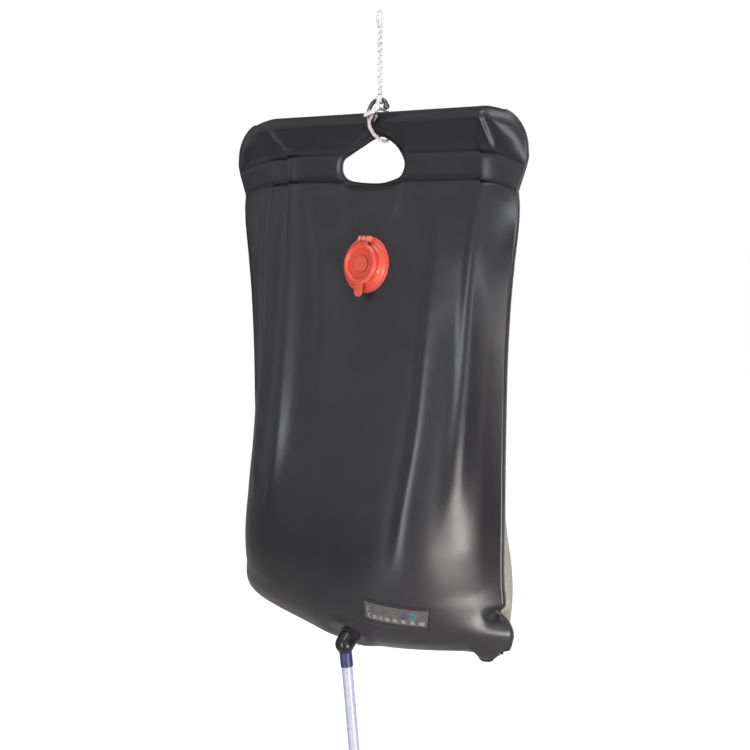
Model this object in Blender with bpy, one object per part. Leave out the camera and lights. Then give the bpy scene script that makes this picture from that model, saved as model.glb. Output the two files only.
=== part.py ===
"""Camp shower bag, hanging filled from its cord.

Metres, +Z up, X along the hanging rod, -Y towards the front. The origin is
inside the top of the hanging loop, which a branch or a peg goes through.
"""

import math

import bmesh
import bpy
from mathutils import Matrix, Vector

# Fits and cuts
TOUCH_GAP = 0.0003
OVERRUN = 0.004

# Bag film and its welds. Drops count down from the top line of the rod sleeve.
BAG_HALF_WIDTH = 0.206
FILM = 0.0006
WELD_LIP = 0.003
SLEEVE_HEIGHT = 0.0445
STRIP_HEIGHT = 0.0300
CHAMBER_HEIGHT = 0.5225
BELLY_FRONT = 0.101
BELLY_REAR = 0.112
STRIP_PUFF = 0.0012
TOP_CORNER_RADIUS = 0.026
SHOULDER_DROOP = 0.017
LEFT_CORNER_LIFT = 0.043
RIGHT_CORNER_LIFT = 0.015
SHOULDER_START = 0.002
DROOP_POWER = 1.5
DROOP_END_SHARE = 0.5
LIFT_POWER = 1.6
LIFT_START_SHARE = 0.45
SLEEVE_FULLNESS = 16
STRIP_FULLNESS = 6

# Chamber sections from the lower weld to the bottom weld, as shares of its
# height, of the belly and of the half width, with the section's fullness.
CHAMBER_SHARES = (
    (0.000, 0.000, 0.944, 2.2),
    (0.030, 0.085, 0.951, 2.2),
    (0.080, 0.200, 0.946, 2.3),
    (0.150, 0.330, 0.927, 2.4),
    (0.240, 0.450, 0.907, 2.4),
    (0.350, 0.580, 0.894, 2.6),
    (0.480, 0.730, 0.890, 2.9),
    (0.600, 0.860, 0.890, 3.2),
    (0.710, 0.960, 0.892, 3.5),
    (0.800, 1.000, 0.893, 3.8),
    (0.870, 0.970, 0.900, 3.8),
    (0.920, 0.880, 0.915, 3.6),
    (0.958, 0.730, 0.930, 3.2),
    (0.985, 0.480, 0.935, 2.8),
    (0.997, 0.220, 0.920, 2.6),
    (1.000, 0.000, 0.890, 2.5),
)
# Half width of the sleeve and strip, against the drop to the lower weld.
HEAD_WIDTH_SHARES = ((0.00, 0.985), (0.48, 1.000), (0.62, 0.988), (0.80, 0.968), (1.00, 0.944))
CHAMBER_ROW_SHARES = (
    0.030, 0.065, 0.100, 0.122, 0.144, 0.166, 0.188, 0.210, 0.232, 0.262, 0.310, 0.370, 0.440, 0.510,
    0.580, 0.650, 0.710, 0.765, 0.815, 0.860, 0.895, 0.922, 0.946, 0.966, 0.982, 0.993, 1.000,
)
PLAIN_ROW_SHARES = (
    0.030, 0.070, 0.120, 0.180, 0.240, 0.310, 0.380, 0.450, 0.520, 0.590, 0.650, 0.710, 0.765, 0.815,
    0.860, 0.900, 0.930, 0.958, 0.980, 0.993, 1.000,
)
MIDDLE_SHARE = 0.33
MIDDLE_COLUMNS = 12
SIDE_COLUMNS = 7
SLEEVE_WRAP_STEPS = 6
SLEEVE_FALL_STEPS = 2
STRIP_STEPS = 2

# Hand hole, as shares of its width and height about its middle
HAND_HOLE_WIDTH = 0.0900
HAND_HOLE_HEIGHT = 0.0512
HAND_HOLE_AT_X = 0.0047
HAND_HOLE_BELOW_WELD = 0.0077
HAND_HOLE_SHARES = (
    (0.170, 0.500), (0.330, 0.354), (0.438, 0.160), (0.499, -0.084), (0.439, -0.344),
    (0.284, -0.450), (0.112, -0.500), (-0.174, -0.482), (-0.401, -0.410), (-0.500, -0.225),
    (-0.483, 0.010), (-0.368, 0.135), (-0.173, 0.299), (0.026, 0.460),
)
HAND_HOLE_STEPS = 2

# Rod in the sleeve
ROD_RADIUS = 0.010
ROD_WALL = 0.0015
ROD_SHORT_OF_SEAM = 0.064
ROD_AT_X = 0.005
SLEEVE_PLAY = 0.0008
ROD_CAP_HEAD = 0.0030
ROD_CAP_PLUG = 0.0120
ROD_CAP_WALL = 0.0015
ROD_CAP_ROUND = 0.0012

# Filler neck and cap
FILLER_AT_X = 0.0245
FILLER_BELOW_WELD = 0.0910
FILLER_TILT = math.radians(8.0)
FLANGE_RADIUS = 0.031
FLANGE_THICK = 0.0012
NECK_RADIUS = 0.0212
NECK_BORE = 0.0190
NECK_HEIGHT = 0.0082
FILM_HOLE_RADIUS = 0.0205
FLAT_MARGIN = 0.007
FLAT_BLEND = 0.022
CAP_RADIUS = 0.0225
CAP_RIM_THICK = 0.0036
CAP_DISH_RADIUS = 0.0165
CAP_DISH_DEPTH = 0.0022
CAP_WEB = 0.0016
CAP_BOSS_RADIUS = 0.0088
CAP_PLUG_RADIUS = 0.0187
CAP_PLUG_TIP_RADIUS = 0.0174
CAP_PLUG_DEPTH = 0.0075
CAP_PLUG_WALL = 0.0016
CAP_TAB_WIDTH = 0.0115
CAP_TAB_REACH = 0.0130
CAP_TAB_THICK = 0.0018
STRAP_WIDTH = 0.0150
STRAP_RIB_WIDTH = 0.0034
STRAP_RIB_THICK = 0.0016
STRAP_RIBS = 3
HINGE_RISE = 0.0275
HINGE_OUT = 0.0060
HINGE_EAR = 0.0036
HINGE_EAR_GAP = 0.0004

# Thermometer in its pocket
THERMO_AT_SHARE = 0.491
THERMO_DROP_SHARE = 0.876
THERMO_WIDTH = 0.0565
THERMO_HEIGHT = 0.0208
STRIP_THICK = 0.0003
POCKET_BORDER = 0.0046
POCKET_CLEAR = 0.0005
POCKET_THICK = 0.0005
POCKET_COLUMNS = 6
POCKET_ROWS = 2

# Outlet
OUTLET_AT_X = 0.0360
OUTLET_ABOVE_FOOT = 0.0280
OUTLET_FLAT_BLEND = 0.012
OUTLET_TILT = math.radians(41.0)
OUTLET_FLANGE_RADIUS = 0.0120
OUTLET_FLANGE_THICK = 0.0016
OUTLET_SOCKET_RADIUS = 0.0072
OUTLET_SOCKET_DEPTH = 0.0090
OUTLET_SOCKET_BORE = 0.0052
ELBOW_SPIGOT_RADIUS = 0.0048
ELBOW_SPIGOT_LENGTH = 0.0085
ELBOW_RADIUS = 0.0084
ELBOW_BARREL = 0.0050
ELBOW_BEND = 0.0055
ELBOW_LEG = 0.0025
ELBOW_BORE = 0.0030
ELBOW_BARB_RADIUS = 0.0044
ELBOW_BARB_LENGTH = 0.0120
LEG_LEAN_X = 0.115
LEG_LEAN_Y = 0.020
SEAL_RING_WIRE = 0.0006
RING_PLAY = 0.0001
SNAP_RING_WIRE = 0.0007
COLLAR_RADIUS = 0.0069
COLLAR_LENGTH = 0.0165

# Hose, with the points of its route from the elbow's barb: across, back and up
HOSE_RADIUS = 0.0060
HOSE_SIDES = 3
HOSE_POINTS = 30
HOSE_ROUTE = (
    (0.0000, 0.0000, 0.0000), (0.0058, -0.0006, -0.0480), (0.0110, -0.0008, -0.0960),
    (0.0148, -0.0006, -0.1450), (0.0166, 0.0000, -0.1950), (0.0168, 0.0006, -0.2450),
    (0.0162, 0.0010, -0.2950), (0.0158, 0.0012, -0.3450), (0.0158, 0.0012, -0.3850),
)

# Shower head, hanging from the hose
HEAD_BARB_RADIUS = 0.0046
HEAD_BARB_LENGTH = 0.0150
HEAD_CLIP_RADIUS = 0.0083
HEAD_CLIP_LENGTH = 0.0070
HEAD_CLIP_BACK = 0.0046
TAP_RADIUS = 0.0100
TAP_LENGTH = 0.0250
TAP_BORE = 0.0030
TAP_CROSS_RADIUS = 0.0062
TAP_CROSS_REACH = 0.0125
SPINDLE_RADIUS = 0.0040
SPINDLE_PLAY = 0.0003
SPINDLE_PORT = 0.0026
SPINDLE_RING_WIRE = 0.0005
LEVER_HUB_RADIUS = 0.0065
LEVER_THICK = 0.0030
LEVER_REACH = 0.0230
LEVER_TIP_RADIUS = 0.0036
BELL_NECK_RADIUS = 0.0080
BELL_NECK_LENGTH = 0.0090
BELL_RADIUS = 0.0230
BELL_HEIGHT = 0.0230
BELL_RIM = 0.0080
BELL_WALL = 0.0020
ROSE_THICK = 0.0022
ROSE_HOLE_RADIUS = 0.0008
ROSE_RING_RADII = (0.0065, 0.0130)
ROSE_RING_COUNTS = (6, 12)
ROSE_NUT_LIP = 0.0026
ROSE_NUT_RADIUS = 0.0252
ROSE_NUT_HEIGHT = 0.0095
ROSE_WASHER_THICK = 0.0012
ROSE_WASHER_WIDTH = 0.0020

# Hanging cord, hook and sling
CORD_RADIUS = 0.00135
CORD_PITCH = 0.0031
CORD_LENGTH = 0.0880
EYE_HALF_WIDTH = 0.0032
EYE_LENGTH = 0.0150
EYE_SHOULDER_SHARE = 0.8
EYE_POINTS = 18
STRANDS_RADIUS = 0.0028
SLEEVE_BELOW_CORD = 0.0155
CORD_POINTS = 7
CORD_SIDES = 2
KNOT_WAIST_SHARE = 0.14
KNOT_RADIUS = 0.0048
KNOT_HEIGHT = 0.0092
HOOK_WIRE = 0.0017
HOOK_BALL = 0.0031
HOOK_POINTS = 28
SLING_RADIUS = 0.0024
SLING_POINTS = 40
SLING_KNOT_RADIUS = 0.0042
SLEEVE_BEHIND_CORD = 0.0145
BAG_LEFT_OF_CORD = 0.0250

# Route of the hook's wire: across and up from the sleeve's top line, by the cord
HOOK_ROUTE = (
    (0.0088, 0.0046), (0.0078, 0.0088), (0.0035, 0.0116), (-0.0028, 0.0120), (-0.0092, 0.0094),
    (-0.0138, 0.0042), (-0.0164, -0.0022), (-0.0166, -0.0078), (-0.0132, -0.0112),
    (-0.0082, -0.0100), (-0.0052, -0.0058), (-0.0044, -0.0008),
)
# Route of the sling: across, back and up, from the same point
SLING_ROUTE = (
    (-0.0096, 0.0306, -0.0070), (-0.0097, 0.0302, -0.0045), (-0.0103, 0.0262, 0.0002),
    (-0.0107, 0.0195, 0.0030),
    (-0.0111, 0.0137, 0.0036), (-0.0113, 0.0078, 0.0020), (-0.0113, 0.0034, -0.0018),
    (-0.0113, -0.0002, -0.0058), (-0.0113, -0.0042, -0.0088), (-0.0110, -0.0054, -0.0130),
    (-0.0102, -0.0042, -0.0182), (-0.0082, -0.0012, -0.0238), (-0.0064, 0.0045, -0.0284),
    (-0.0056, 0.0115, -0.0314), (-0.0060, 0.0190, -0.0312), (-0.0072, 0.0262, -0.0272),
    (-0.0084, 0.0302, -0.0206), (-0.0086, 0.0306, -0.0180),
)

ROUND_SIDES = 28
SMALL_SIDES = 18
RING_SIDES = 6
FINE_SIDES = 10
SHARP_ANGLE = math.radians(35.0)

# Levels and lengths that follow from the sizes above
UPPER_WELD_DROP = SLEEVE_HEIGHT
LOWER_WELD_DROP = SLEEVE_HEIGHT + STRIP_HEIGHT
HAND_HOLE_DROP = UPPER_WELD_DROP + HAND_HOLE_BELOW_WELD
FILLER_DROP = LOWER_WELD_DROP + FILLER_BELOW_WELD
OUTLET_DROP = LOWER_WELD_DROP + CHAMBER_HEIGHT - OUTLET_ABOVE_FOOT
ROD_LENGTH = 2 * (BAG_HALF_WIDTH - ROD_SHORT_OF_SEAM)
CORD_DROP = CORD_LENGTH + SLEEVE_BELOW_CORD
FILM_BASE = TOUCH_GAP / 2 + FILM
SLEEVE_OUTER = ROD_RADIUS + SLEEVE_PLAY + FILM
HOOK_SEAT = min(up for across, up in HOOK_ROUTE)


def clear_scene():
    for thing in list(bpy.data.objects):
        bpy.data.objects.remove(thing, do_unlink=True)


def material(name, colour, roughness, metallic=0.0):
    made = bpy.data.materials.new(name)
    made.use_nodes = True
    shader = made.node_tree.nodes["Principled BSDF"]
    shader.inputs["Base Color"].default_value = (*colour, 1.0)
    shader.inputs["Roughness"].default_value = roughness
    shader.inputs["Metallic"].default_value = metallic
    return made


def empty(name, at, parent=None, turn=None):
    made = bpy.data.objects.new(name, None)
    bpy.context.collection.objects.link(made)
    made.location = at
    if turn is not None:
        made.rotation_mode = "QUATERNION"
        made.rotation_quaternion = turn
    made.parent = parent
    return made


def place(name, mesh, look, parent, at=(0, 0, 0), turn=None):
    """Link a mesh as a named object, with its material and its place."""
    made = bpy.data.objects.new(name, mesh)
    bpy.context.collection.objects.link(made)
    made.parent = parent
    made.location = at
    if turn is not None:
        made.rotation_mode = "QUATERNION"
        made.rotation_quaternion = turn
    if look is not None:
        mesh.materials.clear()
        mesh.materials.append(look)
    return made


def mesh_of(name, points, faces, smooth=True):
    made = bpy.data.meshes.new(name)
    made.from_pydata([tuple(point) for point in points], [], faces)
    shaped = bmesh.new()
    shaped.from_mesh(made)
    bmesh.ops.recalc_face_normals(shaped, faces=shaped.faces)
    shaped.to_mesh(made)
    shaped.free()
    if smooth:
        made.shade_smooth()
        made.set_sharp_from_angle(angle=SHARP_ANGLE)
    return made


def turned(name, profile, sides=ROUND_SIDES, closed=True):
    """Turn (radius, height) points about Z. An open profile starts and ends on the axis."""
    points = []
    rings = []
    for radius, height in profile:
        if radius == 0:
            rings.append([len(points)])
            points.append((0, 0, height))
            continue
        rings.append(list(range(len(points), len(points) + sides)))
        for side in range(sides):
            angle = 2 * math.pi * side / sides
            points.append((radius * math.cos(angle), radius * math.sin(angle), height))
    faces = []
    last = len(rings) if closed else len(rings) - 1
    for index in range(last):
        here, there = rings[index], rings[(index + 1) % len(rings)]
        for side in range(sides):
            after = (side + 1) % sides
            if len(here) == 1:
                faces.append((here[0], there[after], there[side]))
            elif len(there) == 1:
                faces.append((here[side], here[after], there[0]))
            else:
                faces.append((here[side], here[after], there[after], there[side]))
    return mesh_of(name, points, faces)


def slab(name, outline, low, high):
    """A plate with an outline in X and Y, from height low to height high."""
    count = len(outline)
    points = [(x, y, low) for x, y in outline] + [(x, y, high) for x, y in outline]
    faces = [tuple(range(count)), tuple(range(count, 2 * count))]
    for index in range(count):
        after = (index + 1) % count
        faces.append((index, after, count + after, count + index))
    return mesh_of(name, points, faces)


def arc(centre, radius, start, end, steps):
    """Points of an arc in the plane, its angles in turns."""
    found = []
    for step in range(steps + 1):
        angle = 2 * math.pi * (start + (end - start) * step / steps)
        found.append((centre[0] + radius * math.cos(angle), centre[1] + radius * math.sin(angle)))
    return found


def smooth_between(before, start, end, after, part):
    """One Catmull-Rom value between start and end."""
    bend = 3 * (start - end) + after - before
    slope = 2 * before - 5 * start + 4 * end - after
    return start + part * (end - before + part * (slope + part * bend)) / 2


def smooth_row(rows, place_on, column):
    """Read a column of a table at a fractional row."""
    index = min(int(place_on), len(rows) - 2)
    part = place_on - index
    before = rows[max(index - 1, 0)][column]
    after = rows[min(index + 2, len(rows) - 1)][column]
    return smooth_between(before, rows[index][column], rows[index + 1][column], after, part)


def smooth_route(route, count):
    """Even points on the smooth curve through a route's points."""
    route = [Vector(point) for point in route]
    fine_steps = 24
    fine = []
    for step in range((len(route) - 1) * fine_steps + 1):
        on = step / fine_steps
        fine.append(Vector([smooth_row(route, on, axis) for axis in range(len(route[0]))]))
    lengths = [0.0]
    for index in range(1, len(fine)):
        lengths.append(lengths[-1] + (fine[index] - fine[index - 1]).length)
    found = []
    cursor = 0
    for number in range(count):
        wanted = lengths[-1] * number / (count - 1)
        while cursor < len(fine) - 2 and lengths[cursor + 1] < wanted:
            cursor += 1
        span = lengths[cursor + 1] - lengths[cursor]
        found.append(fine[cursor].lerp(fine[cursor + 1], (wanted - lengths[cursor]) / span))
    return found


def swept(name, route, radii, sides, bore=0.0):
    """A round bar along a route with a radius at each point, or a tube with a bore."""
    points = []
    faces = []
    count = len(route)
    along = (route[1] - route[0]).normalized()
    side_way = along.orthogonal().normalized()
    walls = [radii] if bore == 0 else [radii, [bore] * count]
    starts = []
    frames = []
    for index in range(count):
        ahead = route[min(index + 1, count - 1)] - route[max(index - 1, 0)]
        ahead.normalize()
        side_way = (side_way - ahead * side_way.dot(ahead)).normalized()
        frames.append((side_way.copy(), ahead.cross(side_way)))
    for wall in walls:
        starts.append(len(points))
        for index in range(count):
            across, up = frames[index]
            for side in range(sides):
                angle = 2 * math.pi * side / sides
                spoke = across * math.cos(angle) + up * math.sin(angle)
                points.append(route[index] + spoke * wall[index])
        for index in range(count - 1):
            for side in range(sides):
                after = (side + 1) % sides
                low = starts[-1] + index * sides
                faces.append((low + side, low + after, low + sides + after, low + sides + side))
    for end in (0, count - 1):
        rings = [[start + end * sides + side for side in range(sides)] for start in starts]
        if bore == 0:
            faces.append(tuple(rings[0]))
            continue
        for side in range(sides):
            after = (side + 1) % sides
            faces.append((rings[0][side], rings[0][after], rings[1][after], rings[1][side]))
    return mesh_of(name, points, faces)


def cord_object(name, route, radius, resolution, look, parent):
    """A tube along a route, as a curve with a round bevel and filled caps."""
    curve = bpy.data.curves.new(name, "CURVE")
    curve.dimensions = "3D"
    curve.bevel_depth = radius
    curve.bevel_resolution = resolution
    curve.use_fill_caps = True
    spline = curve.splines.new("POLY")
    spline.points.add(len(route) - 1)
    for point, at in zip(spline.points, route):
        point.co = (*at, 1.0)
    curve.materials.append(look)
    made = bpy.data.objects.new(name, curve)
    bpy.context.collection.objects.link(made)
    made.parent = parent
    return made


def boolean(target, cutter, operation="DIFFERENCE"):
    step = target.modifiers.new(cutter.name, "BOOLEAN")
    step.operation = operation
    step.object = cutter
    step.solver = "EXACT"


def cutter(name, mesh, parent, at=(0, 0, 0), turn=None):
    made = place(name, mesh, None, parent, at, turn)
    made.hide_render = True
    made.display_type = "WIRE"
    return made


def facing(way, roll=Vector((1, 0, 0))):
    """Turn that takes +Z to a direction, with X kept near the roll direction."""
    ahead = Vector(way).normalized()
    side_way = (roll - ahead * roll.dot(ahead)).normalized()
    third = ahead.cross(side_way)
    return Matrix((side_way, third, ahead)).transposed().to_quaternion()


def head_half_width(drop):
    """Half width of the sleeve and strip, with the rounded top corners."""
    share = drop / LOWER_WELD_DROP
    shares = HEAD_WIDTH_SHARES
    row = 0
    while row < len(shares) - 2 and shares[row + 1][0] < share:
        row += 1
    part = (share - shares[row][0]) / (shares[row + 1][0] - shares[row][0])
    half = BAG_HALF_WIDTH * (shares[row][1] + (shares[row + 1][1] - shares[row][1]) * part)
    short = TOP_CORNER_RADIUS - drop
    if short > 0:
        half -= TOP_CORNER_RADIUS - math.sqrt(TOP_CORNER_RADIUS ** 2 - short ** 2)
    return half


def head_rows():
    """Rows round the rod, down to the upper weld and over the strip: out, drop, half, fullness."""
    rows = []
    tilt_to_weld = math.acos(SLEEVE_OUTER / (UPPER_WELD_DROP - SLEEVE_OUTER))
    first = math.asin(FILM_BASE / SLEEVE_OUTER)
    last = math.pi - tilt_to_weld
    for step in range(SLEEVE_WRAP_STEPS + 1):
        angle = first + (last - first) * step / SLEEVE_WRAP_STEPS
        out = SLEEVE_OUTER * math.sin(angle)
        rows.append((out, SLEEVE_OUTER * (1 - math.cos(angle)), SLEEVE_FULLNESS))
    top_out, top_drop = rows[-1][:2]
    for step in range(1, SLEEVE_FALL_STEPS + 1):
        share = step / SLEEVE_FALL_STEPS
        drop = top_drop + (UPPER_WELD_DROP - top_drop) * share
        rows.append((top_out + (FILM_BASE - top_out) * share, drop, SLEEVE_FULLNESS))
    for step in range(1, STRIP_STEPS + 1):
        share = step / STRIP_STEPS
        puff = STRIP_PUFF * math.sin(math.pi * share)
        rows.append((FILM_BASE + puff, UPPER_WELD_DROP + STRIP_HEIGHT * share, STRIP_FULLNESS))
    return [(out, drop, head_half_width(drop), fullness) for out, drop, fullness in rows]


def chamber_rows(belly, drops):
    """Rows down the chamber, read from its table of shares."""
    rows = []
    table = CHAMBER_SHARES
    for wanted in drops:
        index = 0
        while index < len(table) - 2 and table[index + 1][0] < wanted:
            index += 1
        part = (wanted - table[index][0]) / (table[index + 1][0] - table[index][0])
        on = min(index + part, len(table) - 1)
        out, half, fullness = (smooth_row(table, on, column) for column in (1, 2, 3))
        drop = LOWER_WELD_DROP + CHAMBER_HEIGHT * wanted
        rows.append((FILM_BASE + belly * out, drop, BAG_HALF_WIDTH * half, fullness))
    return rows


def column_shares(middle):
    """Places across the film as shares of its half width, with a lip share at each end."""
    side = [MIDDLE_SHARE + (1 - MIDDLE_SHARE) * (step + 1) / SIDE_COLUMNS for step in range(SIDE_COLUMNS)]
    centre = [MIDDLE_SHARE * (2 * step / middle - 1) for step in range(middle + 1)]
    shares = [-share for share in reversed(side)] + centre + side
    return [-2] + shares + [2]


def panel_height(across, half, drop):
    """Height of a film point: past the rod it droops, and the bottom corners lift."""
    side = -1 if across < 0 else 1
    start = ROD_LENGTH / 2 + ROD_CAP_HEAD + SHOULDER_START + side * ROD_AT_X
    beyond = max(abs(across) - start, 0) / (BAG_HALF_WIDTH - start)
    below = max(drop - LOWER_WELD_DROP, 0) / CHAMBER_HEIGHT
    droop = SHOULDER_DROOP * beyond ** DROOP_POWER * max(1 - below / DROOP_END_SHARE, 0)
    lift = LEFT_CORNER_LIFT if side < 0 else RIGHT_CORNER_LIFT
    risen = max((below - LIFT_START_SHARE) / (1 - LIFT_START_SHARE), 0)
    rise = lift * abs(across / half) ** LIFT_POWER * risen ** 2
    return rise - droop - drop


def panel_point(row, across_share):
    """A point of the film's outer face in front, with the weld lip past a share of one."""
    out, drop, half, fullness = row
    inside = max(-1.0, min(1.0, across_share))
    lip = WELD_LIP * (across_share - inside) / abs(across_share - inside) if inside != across_share else 0
    depth = FILM_BASE + (out - FILM_BASE) * (1 - abs(inside) ** fullness)
    across = (half - WELD_LIP) * inside
    return Vector((across + lip, -depth, panel_height(across, half, drop)))


def film_seats():
    """Flat seats in the front film: a point, its outward way, a radius and a blend."""
    filler_way = Vector((0, -math.cos(FILLER_TILT), math.sin(FILLER_TILT)))
    outlet_way = Vector((0, -math.cos(OUTLET_TILT), -math.sin(OUTLET_TILT)))
    filler = surface_at(FILLER_AT_X, FILLER_DROP)
    outlet = surface_at(OUTLET_AT_X, OUTLET_DROP)
    return (
        (filler, filler_way, FLANGE_RADIUS + FLAT_MARGIN, FLAT_BLEND),
        (outlet, outlet_way, OUTLET_FLANGE_RADIUS + FLAT_MARGIN, OUTLET_FLAT_BLEND),
    )


def surface_at(across, drop):
    """The front film's outer face at a place across and a drop, by its nearest rows."""
    rows = head_rows() + chamber_rows(BELLY_FRONT, CHAMBER_ROW_SHARES)
    for above, below in zip(rows, rows[1:]):
        if above[1] <= drop <= below[1]:
            part = (drop - above[1]) / (below[1] - above[1])
            row = tuple(first + (second - first) * part for first, second in zip(above, below))
            return panel_point(row, across / (row[2] - WELD_LIP))
    return panel_point(rows[-1], across / (rows[-1][2] - WELD_LIP))


def seat_film(point, seats):
    """Press a film point into the flat seats, blending out past each."""
    for at, way, reach, blend_width in seats:
        away = math.hypot(point.x - at.x, (point.z - at.z) / way.y)
        blend = 1 - max(0.0, min(1.0, (away - reach) / blend_width))
        blend = blend * blend * (3 - 2 * blend)
        flat_y = at.y - (point.z - at.z) * way.z / way.y
        point = Vector((point.x, point.y + (flat_y - point.y) * blend, point.z))
    return point


def panel_mesh(name, shares, belly, drops, side):
    """One film panel as a thin closed shell, its outer face to the front (-1) or rear (1)."""
    rows = head_rows() + chamber_rows(belly, drops)
    bottom, half, fullness = rows[-1][1:]
    rows.append((FILM_BASE, bottom + WELD_LIP, half, fullness))
    seats = film_seats() if side < 0 else ()
    outer = [[seat_film(panel_point(row, share), seats) for share in shares] for row in rows]
    inner = []
    for row in range(len(rows)):
        line = []
        for column in range(len(shares)):
            left = outer[row][max(column - 1, 0)]
            right = outer[row][min(column + 1, len(shares) - 1)]
            above = outer[max(row - 1, 0)][column]
            below = outer[min(row + 1, len(rows) - 1)][column]
            inward = (below - above).cross(right - left).normalized()
            if inward.y < 0:
                inward = -inward
            line.append(outer[row][column] + inward * FILM)
        inner.append(line)
    if side > 0:
        for grid in (outer, inner):
            for line in grid:
                for point in line:
                    point.y = -point.y
    return shell_of(name, outer, inner)


def hand_hole_outline():
    """The welded rim of the hand hole, in X and height, as a smooth closed curve."""
    count = len(HAND_HOLE_SHARES)
    outline = []
    for index in range(count):
        near = [HAND_HOLE_SHARES[(index + step) % count] for step in (-1, 0, 1, 2)]
        for step in range(HAND_HOLE_STEPS):
            part = step / HAND_HOLE_STEPS
            across, up = (smooth_between(*(share[axis] for share in near), part) for axis in (0, 1))
            outline.append((HAND_HOLE_AT_X + HAND_HOLE_WIDTH * across,
                            HAND_HOLE_HEIGHT * up - HAND_HOLE_DROP))
    return outline


def hand_hole_cutter(parent):
    reach = SLEEVE_OUTER + OVERRUN
    mesh = slab("hand_hole_cut", hand_hole_outline(), -reach, reach)
    mesh.transform(Matrix.Rotation(math.pi / 2, 4, "X"))
    return cutter("hand_hole_cutter", mesh, parent)


def round_cutter(name, radius, reach, parent, at, way):
    profile = [(0, -reach), (radius, -reach), (radius, reach), (0, reach)]
    return cutter(name, turned(name, profile, closed=False), parent, at, facing(way))


def make_panels(bag, looks):
    front_mesh = panel_mesh("front_panel", column_shares(MIDDLE_COLUMNS), BELLY_FRONT,
                            CHAMBER_ROW_SHARES, -1)
    rear_mesh = panel_mesh("rear_panel", column_shares(MIDDLE_COLUMNS // 2), BELLY_REAR,
                           PLAIN_ROW_SHARES, 1)
    front = place("front_panel", front_mesh, looks["black_film"], bag)
    rear = place("rear_panel", rear_mesh, looks["grey_film"], bag)
    hole = hand_hole_cutter(bag)
    boolean(front, hole)
    boolean(rear, hole)
    filler, outlet = film_seats()
    boolean(front, round_cutter("filler_film_cutter", FILM_HOLE_RADIUS, OVERRUN, bag, *filler[:2]))
    boolean(front, round_cutter("outlet_film_cutter", OUTLET_SOCKET_RADIUS + TOUCH_GAP, OVERRUN, bag,
                                *outlet[:2]))


def make_rod(bag, looks):
    along = facing((1, 0, 0), Vector((0, 0, 1)))
    inner = ROD_RADIUS - ROD_WALL
    half = ROD_LENGTH / 2
    tube = [(ROD_RADIUS, -half), (ROD_RADIUS, half), (inner, half), (inner, -half)]
    centre = Vector((ROD_AT_X, 0, -SLEEVE_OUTER))
    place("hanging_rod", turned("hanging_rod", tube, SMALL_SIDES), looks["rod"], bag, centre, along)
    plug = inner - TOUCH_GAP
    face = TOUCH_GAP + ROD_CAP_HEAD
    cap = [
        (plug, -ROD_CAP_PLUG), (plug, TOUCH_GAP), (ROD_RADIUS, TOUCH_GAP),
        (ROD_RADIUS, face - ROD_CAP_ROUND), (ROD_RADIUS - ROD_CAP_ROUND, face),
        (0, face), (0, face - ROD_CAP_WALL), (plug - ROD_CAP_WALL, face - ROD_CAP_WALL),
        (plug - ROD_CAP_WALL, -ROD_CAP_PLUG),
    ]
    mesh = turned_from_axis("rod_end_cap", cap, SMALL_SIDES)
    for name, way in (("rod_end_cap_left", -1), ("rod_end_cap_right", 1)):
        at = centre + Vector((way * half, 0, 0))
        place(name, mesh, looks["black_plastic"], bag, at, facing((way, 0, 0), Vector((0, 0, 1))))


def turned_from_axis(name, loop, sides):
    """Turn a closed profile that has one of its edges on the axis."""
    start = next(index for index in range(len(loop)) if loop[index][0] == 0 and loop[index - 1][0] == 0)
    return turned(name, loop[start:] + loop[:start], sides, closed=False)


def cap_profile():
    """The cap as seen from its axis, with height zero on the neck's rim."""
    dish = CAP_RIM_THICK - CAP_DISH_DEPTH
    under = dish - CAP_WEB
    inner = CAP_PLUG_RADIUS - CAP_PLUG_WALL
    return [
        (0, under), (inner, under), (CAP_PLUG_TIP_RADIUS - CAP_PLUG_WALL, -CAP_PLUG_DEPTH),
        (CAP_PLUG_TIP_RADIUS, -CAP_PLUG_DEPTH), (CAP_PLUG_RADIUS, 0), (CAP_RADIUS, 0),
        (CAP_RADIUS, CAP_RIM_THICK / 2), (CAP_RADIUS - CAP_RIM_THICK / 2, CAP_RIM_THICK),
        (CAP_DISH_RADIUS, CAP_RIM_THICK), (CAP_DISH_RADIUS - CAP_DISH_DEPTH / 2, dish),
        (CAP_BOSS_RADIUS, dish), (CAP_BOSS_RADIUS - CAP_DISH_DEPTH / 2, CAP_RIM_THICK),
        (0, CAP_RIM_THICK),
    ]


def tab_outline():
    """The pull tab, from inside the cap's rim downwards to its round end."""
    half = CAP_TAB_WIDTH / 2
    root = -(CAP_RADIUS - CAP_RIM_THICK / 2)
    tip = -(CAP_RADIUS + CAP_TAB_REACH - half)
    return [(half, root), (-half, root)] + arc((0, tip), half, 0.5, 1.0, 8)


def make_filler(bag, looks):
    seat, way = film_seats()[0][:2]
    turn = facing(way)
    face = empty("filler_face", seat, bag, turn)
    low = TOUCH_GAP
    high = low + FLANGE_THICK
    rim = low + NECK_HEIGHT
    neck = [
        (NECK_BORE, low), (FLANGE_RADIUS, low), (FLANGE_RADIUS - FLANGE_THICK / 2, high),
        (NECK_RADIUS, high), (NECK_RADIUS, rim), (NECK_BORE, rim),
    ]
    place("filler_neck", turned("filler_neck", neck), looks["orange"], face)
    hinge_up = Vector((0, HINGE_RISE, low + HINGE_OUT))
    pivot = empty("filler_cap_hinge", hinge_up, face)
    cap = place("filler_cap", turned("filler_cap", cap_profile(), closed=False), looks["orange"], pivot,
                Vector((0, 0, rim + TOUCH_GAP)) - hinge_up)
    tab = cutter("cap_tab_shape", slab("cap_tab_shape", tab_outline(), 0, CAP_TAB_THICK), cap)
    boolean(cap, tab, "UNION")
    ears = cutter("cap_ear_shape", cap_ear_mesh(), cap)
    boolean(cap, ears, "UNION")
    make_strap(face, looks)


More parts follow.
